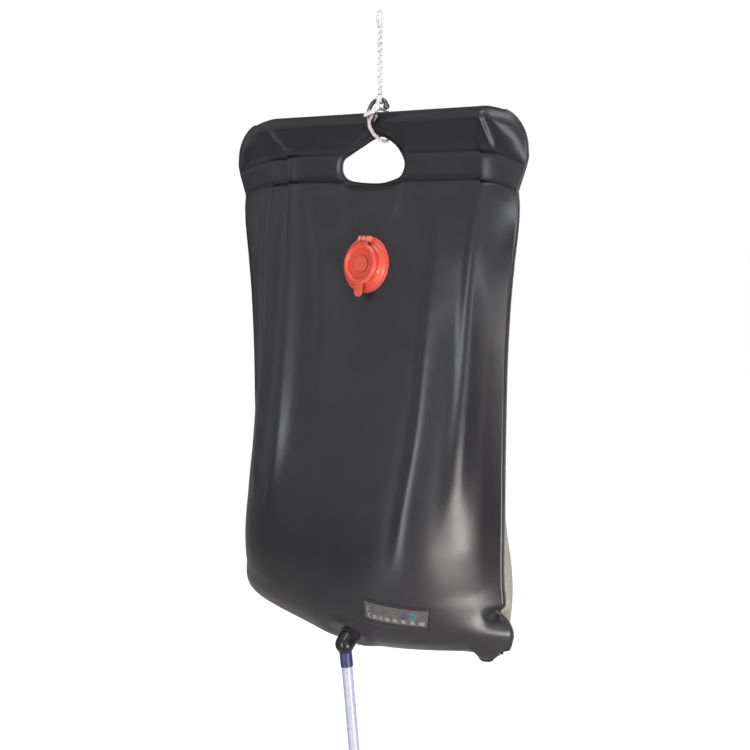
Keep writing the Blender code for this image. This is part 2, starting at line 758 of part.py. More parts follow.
def cap_ear_mesh():
    """The cap's hinge lug, reaching from its rim up to the ribbed strap."""
    half = STRAP_WIDTH / 2
    top = HINGE_RISE - HINGE_EAR / 2 - STRAP_RIB_THICK - HINGE_EAR_GAP
    root = CAP_RADIUS - CAP_RIM_THICK
    outline = [(-half, root), (half, root), (half, top), (-half, top)]
    return slab("cap_ear_shape", outline, 0, CAP_TAB_THICK)


def make_strap(face, looks):
    """The ribbed strap: a foot on the flange, a wall, and ribs rolled about the pivot."""
    half = STRAP_WIDTH / 2
    base = TOUCH_GAP + FLANGE_THICK + TOUCH_GAP
    middle = TOUCH_GAP + HINGE_OUT
    radius = HINGE_EAR / 2
    section = [(HINGE_RISE + radius, base), (HINGE_RISE + radius, middle)]
    section += arc((HINGE_RISE, middle), radius, 0.0, 0.5, 6)[1:]
    section += [(HINGE_RISE - radius, middle - radius), (HINGE_RISE, base + radius / 2), (HINGE_RISE, base)]
    mesh = slab("cap_strap", section, -half, half)
    mesh.transform(Matrix(((0, 0, 1, 0), (1, 0, 0, 0), (0, 1, 0, 0), (0, 0, 0, 1))))
    strap = place("cap_strap", mesh, looks["orange"], face)
    for number in range(STRAP_RIBS):
        shift = (number - (STRAP_RIBS - 1) / 2) * (STRAP_WIDTH - STRAP_RIB_WIDTH) / (STRAP_RIBS - 1)
        start, end = shift - STRAP_RIB_WIDTH / 2, shift + STRAP_RIB_WIDTH / 2
        outline = arc((HINGE_RISE, middle), radius + STRAP_RIB_THICK, 0.0, 1.0, 12)[:-1]
        rib_mesh = slab("strap_rib", outline, start, end)
        rib_mesh.transform(Matrix(((0, 0, 1, 0), (1, 0, 0, 0), (0, 1, 0, 0), (0, 0, 0, 1))))
        boolean(strap, cutter("strap_rib_shape_%d" % (number + 1), rib_mesh, face), "UNION")


def pocket_lines(width, height, border=0.0):
    """Grid lines across and down over the thermometer, with a border line all round."""
    centre = BAG_HALF_WIDTH * THERMO_AT_SHARE
    middle = LOWER_WELD_DROP + CHAMBER_HEIGHT * THERMO_DROP_SHARE
    across = [centre + width * (step / POCKET_COLUMNS - 0.5) for step in range(POCKET_COLUMNS + 1)]
    drops = [middle + height * (step / POCKET_ROWS - 0.5) for step in range(POCKET_ROWS + 1)]
    if border:
        across = [across[0] - border] + across + [across[-1] + border]
        drops = [drops[0] - border] + drops + [drops[-1] + border]
    return across, drops


def pocket_patch(name, lines, near, thick):
    """A thin plate that follows the belly over grid lines, from near to near + thick."""
    layers = []
    for out in (near, near + thick):
        layers.append([[surface_at(across, drop) + surface_way(across, drop) * out
                        for across in lines[0]] for drop in lines[1]])
    return shell_of(name, *layers)


def shell_of(name, outer, inner):
    """Close two grids of points, of the same size, into one thin body."""
    height = len(outer)
    width = len(outer[0])
    points = [point for grid in (outer, inner) for line in grid for point in line]
    faces = []
    for layer in (0, width * height):
        for row in range(height - 1):
            for column in range(width - 1):
                low = layer + row * width + column
                faces.append((low, low + 1, low + width + 1, low + width))
    edge = list(range(width))
    edge += [row * width + width - 1 for row in range(1, height)]
    edge += [(height - 1) * width + column for column in range(width - 2, -1, -1)]
    edge += [row * width for row in range(height - 2, 0, -1)]
    for index, corner in enumerate(edge):
        after = edge[(index + 1) % len(edge)]
        faces.append((corner, after, width * height + after, width * height + corner))
    return mesh_of(name, points, faces)


def surface_way(across, drop):
    """Outward direction of the front film."""
    step = WELD_LIP
    ahead = surface_at(across + step, drop) - surface_at(across - step, drop)
    down = surface_at(across, drop + step) - surface_at(across, drop - step)
    way = ahead.cross(down).normalized()
    return way if way.y < 0 else -way


def make_thermometer(bag, looks):
    strip = pocket_patch("thermometer_strip", pocket_lines(THERMO_WIDTH, THERMO_HEIGHT),
                         POCKET_CLEAR, STRIP_THICK)
    place("thermometer_strip", strip, looks["strip"], bag)
    window = pocket_patch("thermometer_window", pocket_lines(THERMO_WIDTH, THERMO_HEIGHT, POCKET_BORDER),
                          POCKET_CLEAR + STRIP_THICK + TOUCH_GAP, POCKET_THICK)
    place("thermometer_window", window, looks["clear"], bag)


def ring_profile(radius, wire):
    """Section of a round ring: its middle radius and its wire radius."""
    return arc((radius, 0), wire, 0.0, 1.0, RING_SIDES)[:-1]


def make_outlet(bag, looks):
    """Flange, seal, snap ring and elbow. The axis Z runs out of the bag."""
    at, way = film_seats()[1][:2]
    face = empty("outlet_swivel_axis", at, bag, facing(way))
    top = OUTLET_FLANGE_THICK
    deep = -OUTLET_SOCKET_DEPTH
    seal_half = SEAL_RING_WIRE + RING_PLAY
    seal_radius = OUTLET_SOCKET_BORE - seal_half
    groove = seal_radius - seal_half
    flange = [
        (OUTLET_SOCKET_BORE, deep), (OUTLET_SOCKET_RADIUS, deep), (OUTLET_SOCKET_RADIUS, TOUCH_GAP),
        (OUTLET_FLANGE_RADIUS, TOUCH_GAP), (OUTLET_FLANGE_RADIUS, TOUCH_GAP + top / 2),
        (OUTLET_FLANGE_RADIUS - top, TOUCH_GAP + top), (OUTLET_SOCKET_BORE, TOUCH_GAP + top),
    ]
    place("outlet_flange", turned("outlet_flange", flange, SMALL_SIDES), looks["black_gloss"], face)
    seal_at = top / 2 - ELBOW_SPIGOT_LENGTH / 2
    snap_at = deep - TOUCH_GAP - SNAP_RING_WIRE
    seat_low = TOUCH_GAP + top + TOUCH_GAP
    barrel_end = seat_low + ELBOW_BARREL
    leg = face.matrix_basis.to_3x3().inverted() @ Vector((LEG_LEAN_X, LEG_LEAN_Y, -1)).normalized()
    corner = Vector((0, 0, barrel_end + ELBOW_BEND))
    start_bend = Vector((0, 0, barrel_end))
    end_bend = corner + leg * ELBOW_BEND
    leg_end = end_bend + leg * ELBOW_LEG
    barb_end = leg_end + leg * ELBOW_BARB_LENGTH
    route = [Vector((0, 0, seat_low))]
    bend_steps = 5
    for step in range(bend_steps + 1):
        part = step / bend_steps
        low = start_bend.lerp(corner, part)
        high = corner.lerp(end_bend, part)
        route.append(low.lerp(high, part))
    route += [leg_end, leg_end + leg * TOUCH_GAP, barb_end]
    slim = ELBOW_RADIUS - top
    radii = [ELBOW_RADIUS] * (len(route) - 4) + [slim, slim, ELBOW_BARB_RADIUS, ELBOW_BARB_RADIUS]
    spigot = [
        Vector((0, 0, snap_at - SNAP_RING_WIRE * 2)), Vector((0, 0, snap_at - SNAP_RING_WIRE)),
        Vector((0, 0, snap_at + SNAP_RING_WIRE)), Vector((0, 0, seal_at - seal_half)),
        Vector((0, 0, seal_at + seal_half)), Vector((0, 0, seat_low - TOUCH_GAP)),
    ]
    snap_groove = ELBOW_SPIGOT_RADIUS - SNAP_RING_WIRE
    spigot_radii = [ELBOW_SPIGOT_RADIUS, snap_groove, snap_groove, groove, groove, ELBOW_SPIGOT_RADIUS]
    mesh = swept("outlet_elbow", spigot + route, spigot_radii + radii, SMALL_SIDES, ELBOW_BORE)
    place("outlet_elbow", mesh, looks["black_gloss"], face)
    seal = turned("outlet_seal_ring", ring_profile(seal_radius, SEAL_RING_WIRE), SMALL_SIDES)
    place("outlet_seal_ring", seal, looks["rubber"], face, (0, 0, seal_at))
    snap_radius = snap_groove + TOUCH_GAP + SNAP_RING_WIRE
    place("outlet_snap_ring",
          turned("outlet_snap_ring", ring_profile(snap_radius, SNAP_RING_WIRE), SMALL_SIDES),
          looks["steel"], face, (0, 0, snap_at))
    collar_at = empty("hose_collar_axis", leg_end, face, facing(leg))
    bore_low = ELBOW_BARB_RADIUS + TOUCH_GAP
    bore_high = HOSE_RADIUS + TOUCH_GAP
    step_at = ELBOW_BARB_LENGTH + TOUCH_GAP
    collar = [
        (bore_low, TOUCH_GAP * 2), (COLLAR_RADIUS, TOUCH_GAP * 2), (COLLAR_RADIUS, COLLAR_LENGTH),
        (bore_high, COLLAR_LENGTH), (bore_high, step_at), (bore_low, step_at),
    ]
    place("hose_collar", turned("hose_collar", collar, SMALL_SIDES), looks["violet"], collar_at)
    return face, barb_end, leg


def make_hose(face, barb_end, leg, looks):
    """The hose leans on from the elbow and then hangs straight down."""
    to_bag = face.matrix_basis
    to_face = to_bag.inverted()
    start = to_bag @ (barb_end + leg * (TOUCH_GAP * 2))
    route = smooth_route([start + Vector(point) for point in HOSE_ROUTE], HOSE_POINTS)
    cord_object("hose", [to_face @ point for point in route], HOSE_RADIUS, HOSE_SIDES,
                looks["hose"], face)
    return to_face, route[-1]


def make_shower_head(face, to_face, hose_end, looks):
    """The tap and the rose, built downwards from the hose's end."""
    turn = to_face.to_quaternion() @ facing((0, 0, -1))
    head = empty("shower_head_axis", to_face @ (hose_end + Vector((0, 0, -TOUCH_GAP))), face, turn)
    shoulder = HEAD_BARB_LENGTH
    tap_end = shoulder + TAP_LENGTH
    body = [
        (TAP_BORE, 0), (HEAD_BARB_RADIUS, 0), (HEAD_BARB_RADIUS, shoulder), (TAP_RADIUS, shoulder),
        (TAP_RADIUS, tap_end), (TAP_BORE, tap_end),
    ]
    tap = place("tap_body", turned("tap_body", body, SMALL_SIDES), looks["black_plastic"], head)
    middle = shoulder + TAP_LENGTH / 2
    cross_way = facing((0, -1, 0))
    boss = cutter("tap_cross_shape", turned("tap_cross_shape", [
        (0, -TAP_CROSS_REACH), (TAP_CROSS_RADIUS, -TAP_CROSS_REACH), (TAP_CROSS_RADIUS, TAP_CROSS_REACH),
        (0, TAP_CROSS_REACH)], SMALL_SIDES, closed=False), head, (0, 0, middle), cross_way)
    boolean(tap, boss, "UNION")
    bore = SPINDLE_RADIUS + SPINDLE_PLAY
    reach = TAP_CROSS_REACH + OVERRUN
    hole = cutter("tap_cross_bore", turned("tap_cross_bore", [
        (0, -reach), (bore, -reach), (bore, reach), (0, reach)], SMALL_SIDES, closed=False),
        head, (0, 0, middle), cross_way)
    boolean(tap, hole)
    make_tap_lever(head, middle, looks)
    make_rose(head, tap_end, looks)
    clip_low = HOSE_RADIUS + TOUCH_GAP
    clip = [(clip_low, 0), (HEAD_CLIP_RADIUS, 0), (HEAD_CLIP_RADIUS, HEAD_CLIP_LENGTH),
            (clip_low, HEAD_CLIP_LENGTH)]
    clip_at = -(HEAD_CLIP_LENGTH + HEAD_CLIP_BACK)
    place("hose_clip", turned("hose_clip", clip, SMALL_SIDES), looks["black_plastic"], head,
          (0, 0, clip_at))


def make_tap_lever(head, middle, looks):
    """The spindle crosses the tap body; the lever sits on its front end."""
    axis = empty("tap_lever_axis", (0, 0, middle), head, facing((0, 1, 0)))
    end = TAP_CROSS_REACH + TOUCH_GAP
    ring_seat = TAP_CROSS_REACH - TAP_CROSS_RADIUS / 2
    half = SPINDLE_RING_WIRE + RING_PLAY
    ring_radius = SPINDLE_RADIUS + SPINDLE_PLAY - half
    groove = ring_radius - half
    profile = [(0, -end), (SPINDLE_RADIUS, -end)]
    for centre in (-ring_seat, ring_seat):
        profile += [(SPINDLE_RADIUS, centre - half), (groove, centre - half),
                    (groove, centre + half), (SPINDLE_RADIUS, centre + half)]
    profile += [(SPINDLE_RADIUS, end), (0, end)]
    spindle = place("tap_spindle", turned("tap_spindle", profile, SMALL_SIDES, closed=False),
                    looks["white_plastic"], axis)
    port_way = facing((0, 1, 0))
    port = cutter("spindle_port_cutter", turned("spindle_port_cutter", [
        (0, -TAP_RADIUS), (SPINDLE_PORT, -TAP_RADIUS), (SPINDLE_PORT, TAP_RADIUS), (0, TAP_RADIUS)],
        FINE_SIDES, closed=False), axis, (0, 0, 0), port_way)
    boolean(spindle, port)
    for name, centre in (("spindle_ring_rear", -ring_seat), ("spindle_ring_front", ring_seat)):
        ring = turned(name, ring_profile(ring_radius, SPINDLE_RING_WIRE), SMALL_SIDES)
        place(name, ring, looks["rubber"], axis, (0, 0, centre))
    hub = arc((0, 0), LEVER_HUB_RADIUS, 0.10, 0.90, 14)
    tip = arc((LEVER_REACH, 0), LEVER_TIP_RADIUS, -0.22, 0.22, 8)
    outline = hub + tip
    low = end + TOUCH_GAP
    place("tap_lever", slab("tap_lever", outline, low, low + LEVER_THICK), looks["violet"], axis)


def make_rose(head, top, looks):
    """Bell, washer, rose plate and ring nut, from the tap's end downwards."""
    neck_top = top + TOUCH_GAP
    flare = neck_top + BELL_NECK_LENGTH
    rim = flare + BELL_HEIGHT
    foot = rim + BELL_RIM
    wall = BELL_WALL
    bell = [(BELL_NECK_RADIUS - wall, neck_top), (BELL_NECK_RADIUS, neck_top), (BELL_NECK_RADIUS, flare)]
    sweep = BELL_RADIUS - BELL_NECK_RADIUS
    curve_steps = 4
    outer = []
    for step in range(1, curve_steps + 1):
        part = step / curve_steps
        ease = part * part * (3 - 2 * part)
        outer.append((BELL_NECK_RADIUS + sweep * ease, flare + BELL_HEIGHT * part))
    inner = [(radius - wall, height) for radius, height in reversed(outer)]
    bell += outer + [(BELL_RADIUS, foot), (BELL_RADIUS - wall, foot)] + inner
    bell += [(BELL_NECK_RADIUS - wall, flare)]
    place("head_bell", turned("head_bell", bell), looks["black_plastic"], head)
    washer_top = foot + TOUCH_GAP
    washer_low = washer_top + ROSE_WASHER_THICK
    washer = [(BELL_RADIUS - ROSE_WASHER_WIDTH, washer_top), (BELL_RADIUS, washer_top),
              (BELL_RADIUS, washer_low), (BELL_RADIUS - ROSE_WASHER_WIDTH, washer_low)]
    place("rose_washer", turned("rose_washer", washer), looks["rubber"], head)
    plate_top = washer_low + TOUCH_GAP
    plate_low = plate_top + ROSE_THICK
    plate_mesh = turned("rose_plate", [(0, plate_top), (BELL_RADIUS, plate_top), (BELL_RADIUS, plate_low),
                                       (0, plate_low)], closed=False)
    plate = place("rose_plate", plate_mesh, looks["white_plastic"], head)
    boolean(plate, rose_hole_cutter(head, plate_top, plate_low))
    nut_low = plate_low + TOUCH_GAP
    nut = [
        (BELL_RADIUS + TOUCH_GAP, nut_low), (BELL_RADIUS + TOUCH_GAP, nut_low - ROSE_NUT_HEIGHT),
        (ROSE_NUT_RADIUS, nut_low - ROSE_NUT_HEIGHT), (ROSE_NUT_RADIUS, nut_low + ROSE_NUT_LIP / 2),
        (BELL_RADIUS - ROSE_NUT_LIP, nut_low + ROSE_NUT_LIP / 2), (BELL_RADIUS - ROSE_NUT_LIP, nut_low),
    ]
    place("rose_nut", turned("rose_nut", nut), looks["black_plastic"], head)


def rose_hole_cutter(head, plate_top, plate_low):
    """All the spray holes as one cutter of separate prisms."""
    points = []
    faces = []
    places = [(0.0, 0.0)]
    for radius, count in zip(ROSE_RING_RADII, ROSE_RING_COUNTS):
        for number in range(count):
            angle = 2 * math.pi * number / count
            places.append((radius * math.cos(angle), radius * math.sin(angle)))
    sides = 6
    for x, y in places:
        low = len(points)
        for height in (plate_top - OVERRUN, plate_low + OVERRUN):
            for side in range(sides):
                angle = 2 * math.pi * side / sides
                points.append((x + ROSE_HOLE_RADIUS * math.cos(angle),
                               y + ROSE_HOLE_RADIUS * math.sin(angle), height))
        faces.append(tuple(range(low, low + sides)))
        faces.append(tuple(range(low + sides, low + 2 * sides)))
        for side in range(sides):
            after = (side + 1) % sides
            faces.append((low + side, low + after, low + sides + after, low + sides + side))
    return cutter("rose_hole_cutter", mesh_of("rose_hole_cutter", points, faces), head)


def eye_route():
    """The eye that the cord hangs by, from one end of the loop to the other."""
    half = CORD_PITCH / 2
    top = CORD_RADIUS
    shoulder = top - EYE_HALF_WIDTH / 2
    side = [
        Vector((half, 0, -EYE_LENGTH)), Vector((half, 0, CORD_RADIUS - EYE_LENGTH)),
        Vector((EYE_HALF_WIDTH, 0, -EYE_LENGTH / 2)),
        Vector((EYE_HALF_WIDTH * EYE_SHOULDER_SHARE, 0, shoulder)),
    ]
    return side + [Vector((0, 0, top))] + [Vector((-point.x, 0, point.z)) for point in reversed(side)]


def knot_mesh(name, radius, height, lobes=3):
    """A tied knot as a turned bead with rope-like waists."""
    profile = [(0, -height / 2)]
    steps = lobes * 4
    for step in range(1, steps):
        part = step / steps
        belly = math.sqrt(math.sin(math.pi * part))
        ripple = 1 - KNOT_WAIST_SHARE * (1 - abs(math.sin(math.pi * part * lobes)))
        profile.append((radius * belly * ripple, height * (part - 0.5)))
    profile.append((0, height / 2))
    return turned(name, profile, FINE_SIDES, closed=False)


def make_hanging_gear(looks):
    """Eye, cord, knot and hook. Their heights count from the inside of the eye's top."""
    cord_object("cord_eye", smooth_route(eye_route(), EYE_POINTS), CORD_RADIUS, CORD_SIDES,
                looks["cord"], None)
    strands = [Vector((0, 0, -EYE_LENGTH - TOUCH_GAP)), Vector((0, 0, CORD_RADIUS - CORD_LENGTH))]
    cord_object("hanging_cord", smooth_route(strands, CORD_POINTS), STRANDS_RADIUS, CORD_SIDES,
                looks["cord"], None)
    knot_top = CORD_RADIUS - CORD_LENGTH - TOUCH_GAP
    knot = place("cord_knot", knot_mesh("cord_knot", KNOT_RADIUS, KNOT_HEIGHT), looks["cord"], None,
                 (0, 0, knot_top - KNOT_HEIGHT / 2))
    wire = smooth_route([(across, 0, up - CORD_DROP) for across, up in HOOK_ROUTE], HOOK_POINTS)
    radii = [HOOK_WIRE] * HOOK_POINTS
    hook = place("hanging_hook", swept("hanging_hook", wire, radii, FINE_SIDES), looks["steel"], None)
    ball_mesh = knot_mesh("hook_ball_shape", HOOK_BALL, HOOK_BALL * 2, 1)
    ball = cutter("hook_ball_shape", ball_mesh, hook, wire[0])
    boolean(hook, ball, "UNION")
    boolean(knot, cutter("knot_hook_cutter", swept("knot_hook_cutter", wire,
                                                   [HOOK_WIRE + TOUCH_GAP] * HOOK_POINTS, FINE_SIDES), hook))


def make_sling(pivot, looks):
    """The sling goes over the hook's lower bend and round the sleeve, through the hand hole."""
    seat = Vector((0, 0, HOOK_SEAT))
    route = smooth_route([Vector(point) - seat for point in SLING_ROUTE], SLING_POINTS)
    cord_object("sling_cord", route, SLING_RADIUS, CORD_SIDES, looks["cord"], pivot)
    gap = route[0] - route[-1]
    middle = (route[0] + route[-1]) / 2
    length = gap.length - TOUCH_GAP * 2
    place("sling_knot", knot_mesh("sling_knot", SLING_KNOT_RADIUS, length), looks["cord"], pivot,
          middle, facing(gap))


def make_looks():
    return {
        "black_film": material("black_film", (0.030, 0.030, 0.032), 0.34),
        "grey_film": material("grey_film", (0.42, 0.40, 0.36), 0.42),
        "rod": material("rod", (0.60, 0.60, 0.58), 0.5),
        "orange": material("orange", (0.85, 0.10, 0.03), 0.28),
        "strip": material("strip", (0.10, 0.08, 0.075), 0.3),
        "clear": material("clear", (0.30, 0.27, 0.26), 0.12),
        "black_gloss": material("black_gloss", (0.015, 0.015, 0.016), 0.16),
        "black_plastic": material("black_plastic", (0.025, 0.025, 0.027), 0.35),
        "white_plastic": material("white_plastic", (0.75, 0.75, 0.74), 0.4),
        "violet": material("violet", (0.05, 0.045, 0.20), 0.3),
        "rubber": material("rubber", (0.03, 0.03, 0.03), 0.75),
        "steel": material("steel", (0.45, 0.44, 0.42), 0.3, 1.0),
        "hose": material("hose", (0.72, 0.72, 0.86), 0.25),
        "cord": material("cord", (0.82, 0.81, 0.78), 0.8),
    }


def build():
    clear_scene()
    looks = make_looks()
    make_hanging_gear(looks)
    pivot = empty("bag_swing_axis", (0, 0, HOOK_SEAT - CORD_DROP))
    bag = empty("bag_frame", (-BAG_LEFT_OF_CORD, SLEEVE_BEHIND_CORD, -HOOK_SEAT), pivot)
    make_sling(pivot, looks)
    make_panels(bag, looks)
    make_rod(bag, looks)
    make_filler(bag, looks)
    make_thermometer(bag, looks)
    face, barb_end, leg = make_outlet(bag, looks)
    to_face, hose_end = make_hose(face, barb_end, leg, looks)
    make_shower_head(face, to_face, hose_end, looks)


build()
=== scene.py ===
"""Looks of the camp shower bag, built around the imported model.

Metres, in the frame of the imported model. The bag's own frame has its origin on
the top line of the rod sleeve, with X along the rod and -Y to the front.
"""

import math

import bmesh
import bpy
import numpy as np
from mathutils import Matrix, Vector
from mathutils.bvhtree import BVHTree


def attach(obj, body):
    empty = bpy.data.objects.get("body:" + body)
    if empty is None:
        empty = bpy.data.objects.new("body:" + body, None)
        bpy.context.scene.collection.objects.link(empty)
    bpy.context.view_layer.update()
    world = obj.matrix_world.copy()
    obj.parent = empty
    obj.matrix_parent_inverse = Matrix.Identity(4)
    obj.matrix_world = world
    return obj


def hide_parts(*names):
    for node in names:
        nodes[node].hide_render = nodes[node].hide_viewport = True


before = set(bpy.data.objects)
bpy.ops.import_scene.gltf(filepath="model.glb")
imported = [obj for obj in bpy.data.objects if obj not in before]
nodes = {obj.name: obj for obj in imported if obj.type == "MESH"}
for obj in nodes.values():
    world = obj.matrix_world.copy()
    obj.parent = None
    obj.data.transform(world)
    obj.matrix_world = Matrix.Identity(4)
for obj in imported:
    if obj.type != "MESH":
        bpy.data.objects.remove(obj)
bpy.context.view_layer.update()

# Camera of the photograph
CAMERA_AT = (0.8642, -1.0758, -0.2105)
CAMERA_TO = (-0.0187, 0.0145, -0.3952)
CAMERA_LENS = 60
CAMERA_SENSOR = 36
FLOOR_Z = -1.262
FLOOR_HALF = 30.0
FLOOR_COLOUR = (0.84, 0.8, 0.765, 1)
FLOOR_GLOW = 0.85
FLOOR_MIRRORED = 0.05
WORLD_LIGHT = 0.2
LAMP_COLOUR = (0.91, 0.945, 1.0)
ROOM_COLOUR = (0.94, 0.965, 1.0, 1)
ROOM_SHOWN = 1.08
ROOM_LEFT = 0.85
ROOM_RIGHT = 1.22
ROOM_REAR = 0.3
ROOM_TURN = (-0.78, -0.1)
REAR_TURN = (-0.3, 0.05)

# Lamps: name, degrees round from the front and up, distance, width and height, power, colour
LAMP_TARGET = Vector((0.0, 0.0, -0.42))
LAMPS = (
    ("key", 73, -19, 1.7, (0.72, 0.5), 27, (1.0, 0.965, 0.94)),
    ("high", 62, 14, 2.2, (0.4, 1.0), 7, LAMP_COLOUR),
    ("broad", 4, -4, 2.2, (0.9, 1.5), 36, LAMP_COLOUR),
    ("rim", 128, 18, 2.2, (0.7, 1.6), 9, (1, 1, 1)),
    ("top", 30, 76, 2.2, (1.4, 1.2), 26, (1, 1, 1)),
)

# Bag film, with the main sizes of the CAD source
BAG_AT = Vector((-0.025, 0.0145, -0.1035))
HALF_WIDTH = 0.206
FILM = 0.0006
LIP = 0.003
SLEEVE_HEIGHT = 0.0445
STRIP_HEIGHT = 0.03
CHAMBER_HEIGHT = 0.5225
BELLY_FRONT = 0.101
BELLY_REAR = 0.112
STRIP_PUFF = 0.0026
STRIP_POWER = 8
TUCK_SHARE = 0.24
TUCK_POWER = 9
BROW_OUT = 0.0026
BROW_RISE = 0.0016
BROW_FADE = 0.035
WELD_STEP = 0.0024
WELD_GROOVE = 0.0022
CHAMBER_ROWS = 200
CREST_ROUND = 0.0014
RIGHT_FULL = 4.8
CORNER_RADIUS = 0.026
SHOULDER_DROOP = 0.017
ROD_REACH = 0.147
ROD_AT_X = 0.005
LEFT_LIFT = 0.037
LEFT_POWER = 0.7
LEFT_RISE = 1.62
LIFT_SOFT = 0.05
LEFT_FULL = 1.5
RIGHT_LIFT = 0.021
REAR_FULL = 1.5
WELD_DROP = SLEEVE_HEIGHT + STRIP_HEIGHT
WELD_HALF = 0.00015
SLEEVE_INNER = 0.0108
FILM_BASE = WELD_HALF + FILM
SLEEVE_OUTER = SLEEVE_INNER + FILM
CHAMBER = np.array([
    (0.0, 0.0, 0.944, 2.2), (0.03, 0.085, 0.951, 2.2), (0.08, 0.2, 0.946, 2.3),
    (0.15, 0.33, 0.927, 2.4), (0.24, 0.45, 0.907, 2.4), (0.35, 0.58, 0.894, 2.6),
    (0.48, 0.73, 0.89, 2.9), (0.6, 0.86, 0.89, 3.2), (0.71, 0.96, 0.892, 3.5),
    (0.8, 1.0, 0.893, 3.8), (0.87, 0.97, 0.9, 3.8), (0.92, 0.88, 0.915, 3.6),
    (0.958, 0.73, 0.93, 3.2), (0.985, 0.48, 0.935, 2.8), (0.997, 0.22, 0.92, 2.6),
    (1.0, 0.0, 0.89, 2.5),
])
HEAD_WIDTHS = np.array([(0.0, 0.985), (0.48, 1.0), (0.62, 0.988), (0.8, 0.968), (1.0, 0.944)])
SLEEVE_FULL = 16.0
STRIP_FULL = 9.0
WELD_ROWS = np.array((0.7, 1.2, 1.7, 2.3, 3.0, 3.8, 4.8, 6.0)) / 1000
ROW_GAP = 0.0012
STRIP_GAP = 0.0015
STEP_START = (0.012, 0.04)
STEP_END = (0.08, 0.14)
STEP_LEFT = (-0.1245, -0.1205)
STEP_RIGHT = (0.1465, 0.15)
FOLD_START = 0.006
FOLD_END = 0.003
FRONT_COLUMNS = 221
REAR_COLUMNS = 151

# Bottom right corner of the filled bag: places down from the lower weld with their reaches, and moves
NOTCH = (0.4722, 0.0058)
NOTCH_IN = 0.0078
LOBE = (0.4955, 0.014)
LOBE_OUT = 0.0056
UPPER_LOBE = (0.456, 0.01)
UPPER_OUT = 0.0008
DART_AT = 0.473
DART_SLOPE = 0.12
DART_REACH = 0.0056
DART_DEEP = 0.004
FOOT_DOWN = 0.01

# Places on the bag, in the bag's frame
FILLER_HOLE = 0.02
OUTLET_HOLE = 0.0074
HOLE_LEVEL = 0.00115
HOLE_RIM = 0.0008
RIM_PROUD = 0.0002
HOLE_WELD = (0.0012, 0.0075)
FILLER_SEAT = Vector((0.0245, -0.03709, -0.1655))
FILLER_TILT = math.radians(8.0)
FILLER_FLAT = (0.031, 0.045)
OUTLET_SEAT = Vector((0.036, -0.07964, -0.56815))
OUTLET_TILT = math.radians(41.0)
OUTLET_FLAT = (0.019, 0.012)
HOLE_CENTRE = (0.0047, -0.0522)
HOLE_SIZE = (0.09, 0.0512)
HOLE_SHARES = (
    (0.17, 0.5), (0.33, 0.354), (0.438, 0.16), (0.499, -0.084), (0.439, -0.344),
    (0.284, -0.45), (0.112, -0.5), (-0.174, -0.482), (-0.401, -0.41), (-0.5, -0.225),
    (-0.483, 0.01), (-0.368, 0.135), (-0.173, 0.299), (0.026, 0.46),
)

# Filler, with heights along its axis from the film
CAP_AT = 0.0094
CAP_THICK = 0.0018
CAP_LOW = 0.0001
NECK_ROUND = 0.0006
CAP_ROUND = 0.0007
LID_BEVEL = 0.0006
NECK_PROFILE = (
    (0.019, -0.001), (0.031, -0.0002), (0.031, 0.0013), (0.0272, 0.0016), (0.0266, 0.003),
    (0.024, 0.0034), (0.0224, 0.0046), (0.0216, 0.0062), (0.0213, 0.009), (0.019, 0.009),
)
CAP_PROFILE = (
    (0.0, 0.0016), (0.0088, 0.0016), (0.0094, -0.0016), (0.0152, -0.0018), (0.017, 0.0032),
    (0.0182, 0.004), (0.0207, 0.004), (0.0225, 0.0024), (0.0225, 0.0001), (0.0187, 0.0001),
    (0.0187, -0.004), (0.0174, -0.0075), (0.0158, -0.0075), (0.0163, -0.0034), (0.0, -0.0034),
)
CAP_EAR = ((-0.0075, 0.0189), (0.0075, 0.0189), (0.0075, 0.0237), (-0.0075, 0.0237))
TAB_ROOT = 0.02
TAB_END = 0.0304
TAB_HALF = 0.0054

# Thermometer: corners on the front film as across and height, from the top left round to the bottom left
POCKET = ((0.067, -0.5145), (0.1372, -0.5212), (0.1312, -0.5484), (0.064, -0.5448))
STRIP = ((0.0715, -0.5182), (0.1352, -0.5246), (0.1304, -0.5435), (0.069, -0.5386))
STRIP_SIZE = (0.0565, 0.0196)
STRIP_LIFT = (0.0001, 0.0004)
WINDOW_LIFT = (0.0007, 0.001)
PRINT_LIFT = (0.00042, 0.0005)
CELL_LIFT = (0.00041, 0.00045)
LIT_CELL = (0.742, 0.842, 0.2, 0.62)
FAINT_CELL = (0.612, 0.712, 0.2, 0.62)
RAY_START = -1.0
POCKET_PROFILE = (
    (0, -0.0004), (0, 0.0003), (0.16, 0.0008), (0.32, 0.0003), (0.6, 0.0003), (0.74, 0.0009),
    (1, 0.0009), (1, -0.0004),
)
STROKE = 0.0003
SCALE_LETTERS = [("F", 0.075, 0.4, 0.0062), ("C", 0.085, 0.76, 0.0046)]
CELSIUS_TALL = 0.0031
FAHRENHEIT_TALL = 0.004
CELSIUS = range(10, 45, 5)
NUMBER_PLACES = (0.176, 0.285, 0.402, 0.53, 0.66, 0.79, 0.925)
